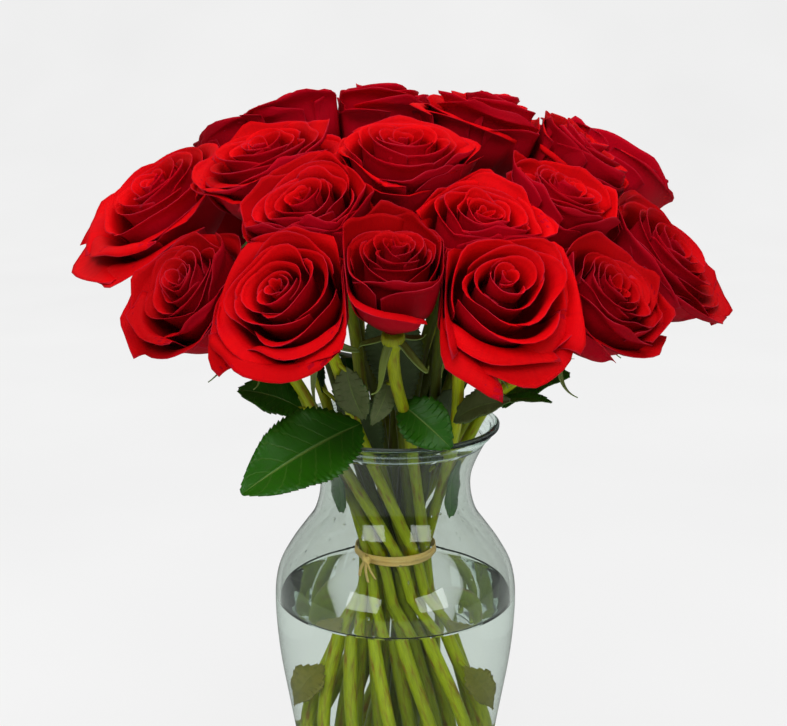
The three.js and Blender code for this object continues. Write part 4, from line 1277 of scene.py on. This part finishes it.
# %% Lights
# name, place, aim and size in metres, power in watts, seen in the glass
LIGHTS = [
    ("key", (-0.35, -1.3, 1.3), (0, 0, 0.25), (0.8, 0.6), 16, False),
    ("fill", (0.9, -1.1, 0.9), (0, 0, 0.2), (0.8, 0.8), 4, False),
    ("top", (0.1, -0.1, 1.5), (0, 0, 0.3), (1.0, 1.0), 11, False),
    ("left_window", (-0.70, -1.16, 0.66), (0, 0, 0.14), (0.78, 0.62), 7, True),
    ("right_window", (0.79, -1.09, 0.66), (0, 0, 0.14), (0.70, 0.62), 6, True),
]

for name, place, aim, size, power, mirrored in LIGHTS:
    lamp = bpy.data.lights.new(name, "AREA")
    lamp.shape = "RECTANGLE"
    lamp.size, lamp.size_y = size
    lamp.energy = power
    light = bpy.data.objects.new(name, lamp)
    scene.collection.objects.link(light)
    light.location = place
    light.rotation_euler = (Vector(place) - Vector(aim)).to_track_quat("Z", "Y").to_euler()
    light.visible_glossy = light.visible_transmission = mirrored
    light.visible_diffuse = not mirrored
print("lights:", ", ".join(row[0] for row in LIGHTS))

# %% World


def studio_world():
    """Even and pale to the camera; to all other rays dim at the sides and behind the camera."""
    s = Shader(bpy.data.worlds.new("studio"))
    direction = s.add("SeparateXYZ", {0: s.add("TexCoord")["Generated"]})
    beside = s.ramp(s.math("ABSOLUTE", direction["X"]), 0.45, 0.85, 0.5, 0.2, "LINEAR")
    behind = s.ramp(direction["Y"], -0.8, 0.1, 0.16, 1.0, "LINEAR")
    seen = s.add("LightPath")["Is Camera Ray"]
    strength = s.add("Mix", {0: seen, 2: s.math("MULTIPLY", beside, behind), 3: 0.87})[0]
    light = s.add("Background", {"Color": (1, 1, 1), "Strength": strength})[0]
    return s.ends_in(light, "OutputWorld")


scene.world = studio_world()
print("world:", scene.world.name)

# %% [markdown]
# ## Floor
#
# A photographer's sweep is a sheet of paper that curves up into a backdrop, so that no horizon
# shows. Lit by the lamps alone it would be uneven, so it glows a little by itself, and less in
# the reflections on the glass.

# %% Floor and backdrop
FLOOR_FRONT, FLOOR_BACK, SWEEP_RADIUS, BACKDROP_TOP, FLOOR_HALF = -3.0, 2.0, 1.0, 4.0, 4.0  # metres


def paper_material():
    s = Shader("floor")
    grain = s.noise(3.0)
    paper = s.add("BsdfDiffuse", {"Color": s.mix(grain, (0.05, 0.05, 0.05), (0.06, 0.06, 0.06))})[0]
    ray = s.add("LightPath")
    reflected = s.math("MULTIPLY", ray["Is Glossy Ray"],
                       s.math("SUBTRACT", 1.0, ray["Is Transmission Ray"]))
    tint = s.mix(grain, (0.15, 0.15, 0.15), (0.16, 0.16, 0.16))
    glow = s.add("Emission", {"Color": tint, "Strength": s.ramp(reflected, 0.0, 1.0, 5.4, 0.8)})[0]
    return s.ends_in(s.add("AddShader", {0: paper, 1: glow})[0])


def sweep():
    bend = [(FLOOR_BACK + SWEEP_RADIUS * math.sin(a), SWEEP_RADIUS * (1 - math.cos(a)))
            for a in np.linspace(0, math.pi / 2, 12)[1:]]
    profile = [(FLOOR_FRONT, 0), (FLOOR_BACK, 0), *bend, (FLOOR_BACK + SWEEP_RADIUS, BACKDROP_TOP)]
    points = [(x, y, z) for y, z in profile for x in (-FLOOR_HALF, FLOOR_HALF)]
    faces = np.array([[2 * i, 2 * i + 1, 2 * i + 3, 2 * i + 2] for i in range(len(profile) - 1)])
    return mesh_object("floor", np.array(points) * 1000, faces, paper_material())


floor = sweep()
print("floor:", 2 * FLOOR_HALF, "m wide")

# %% [markdown]
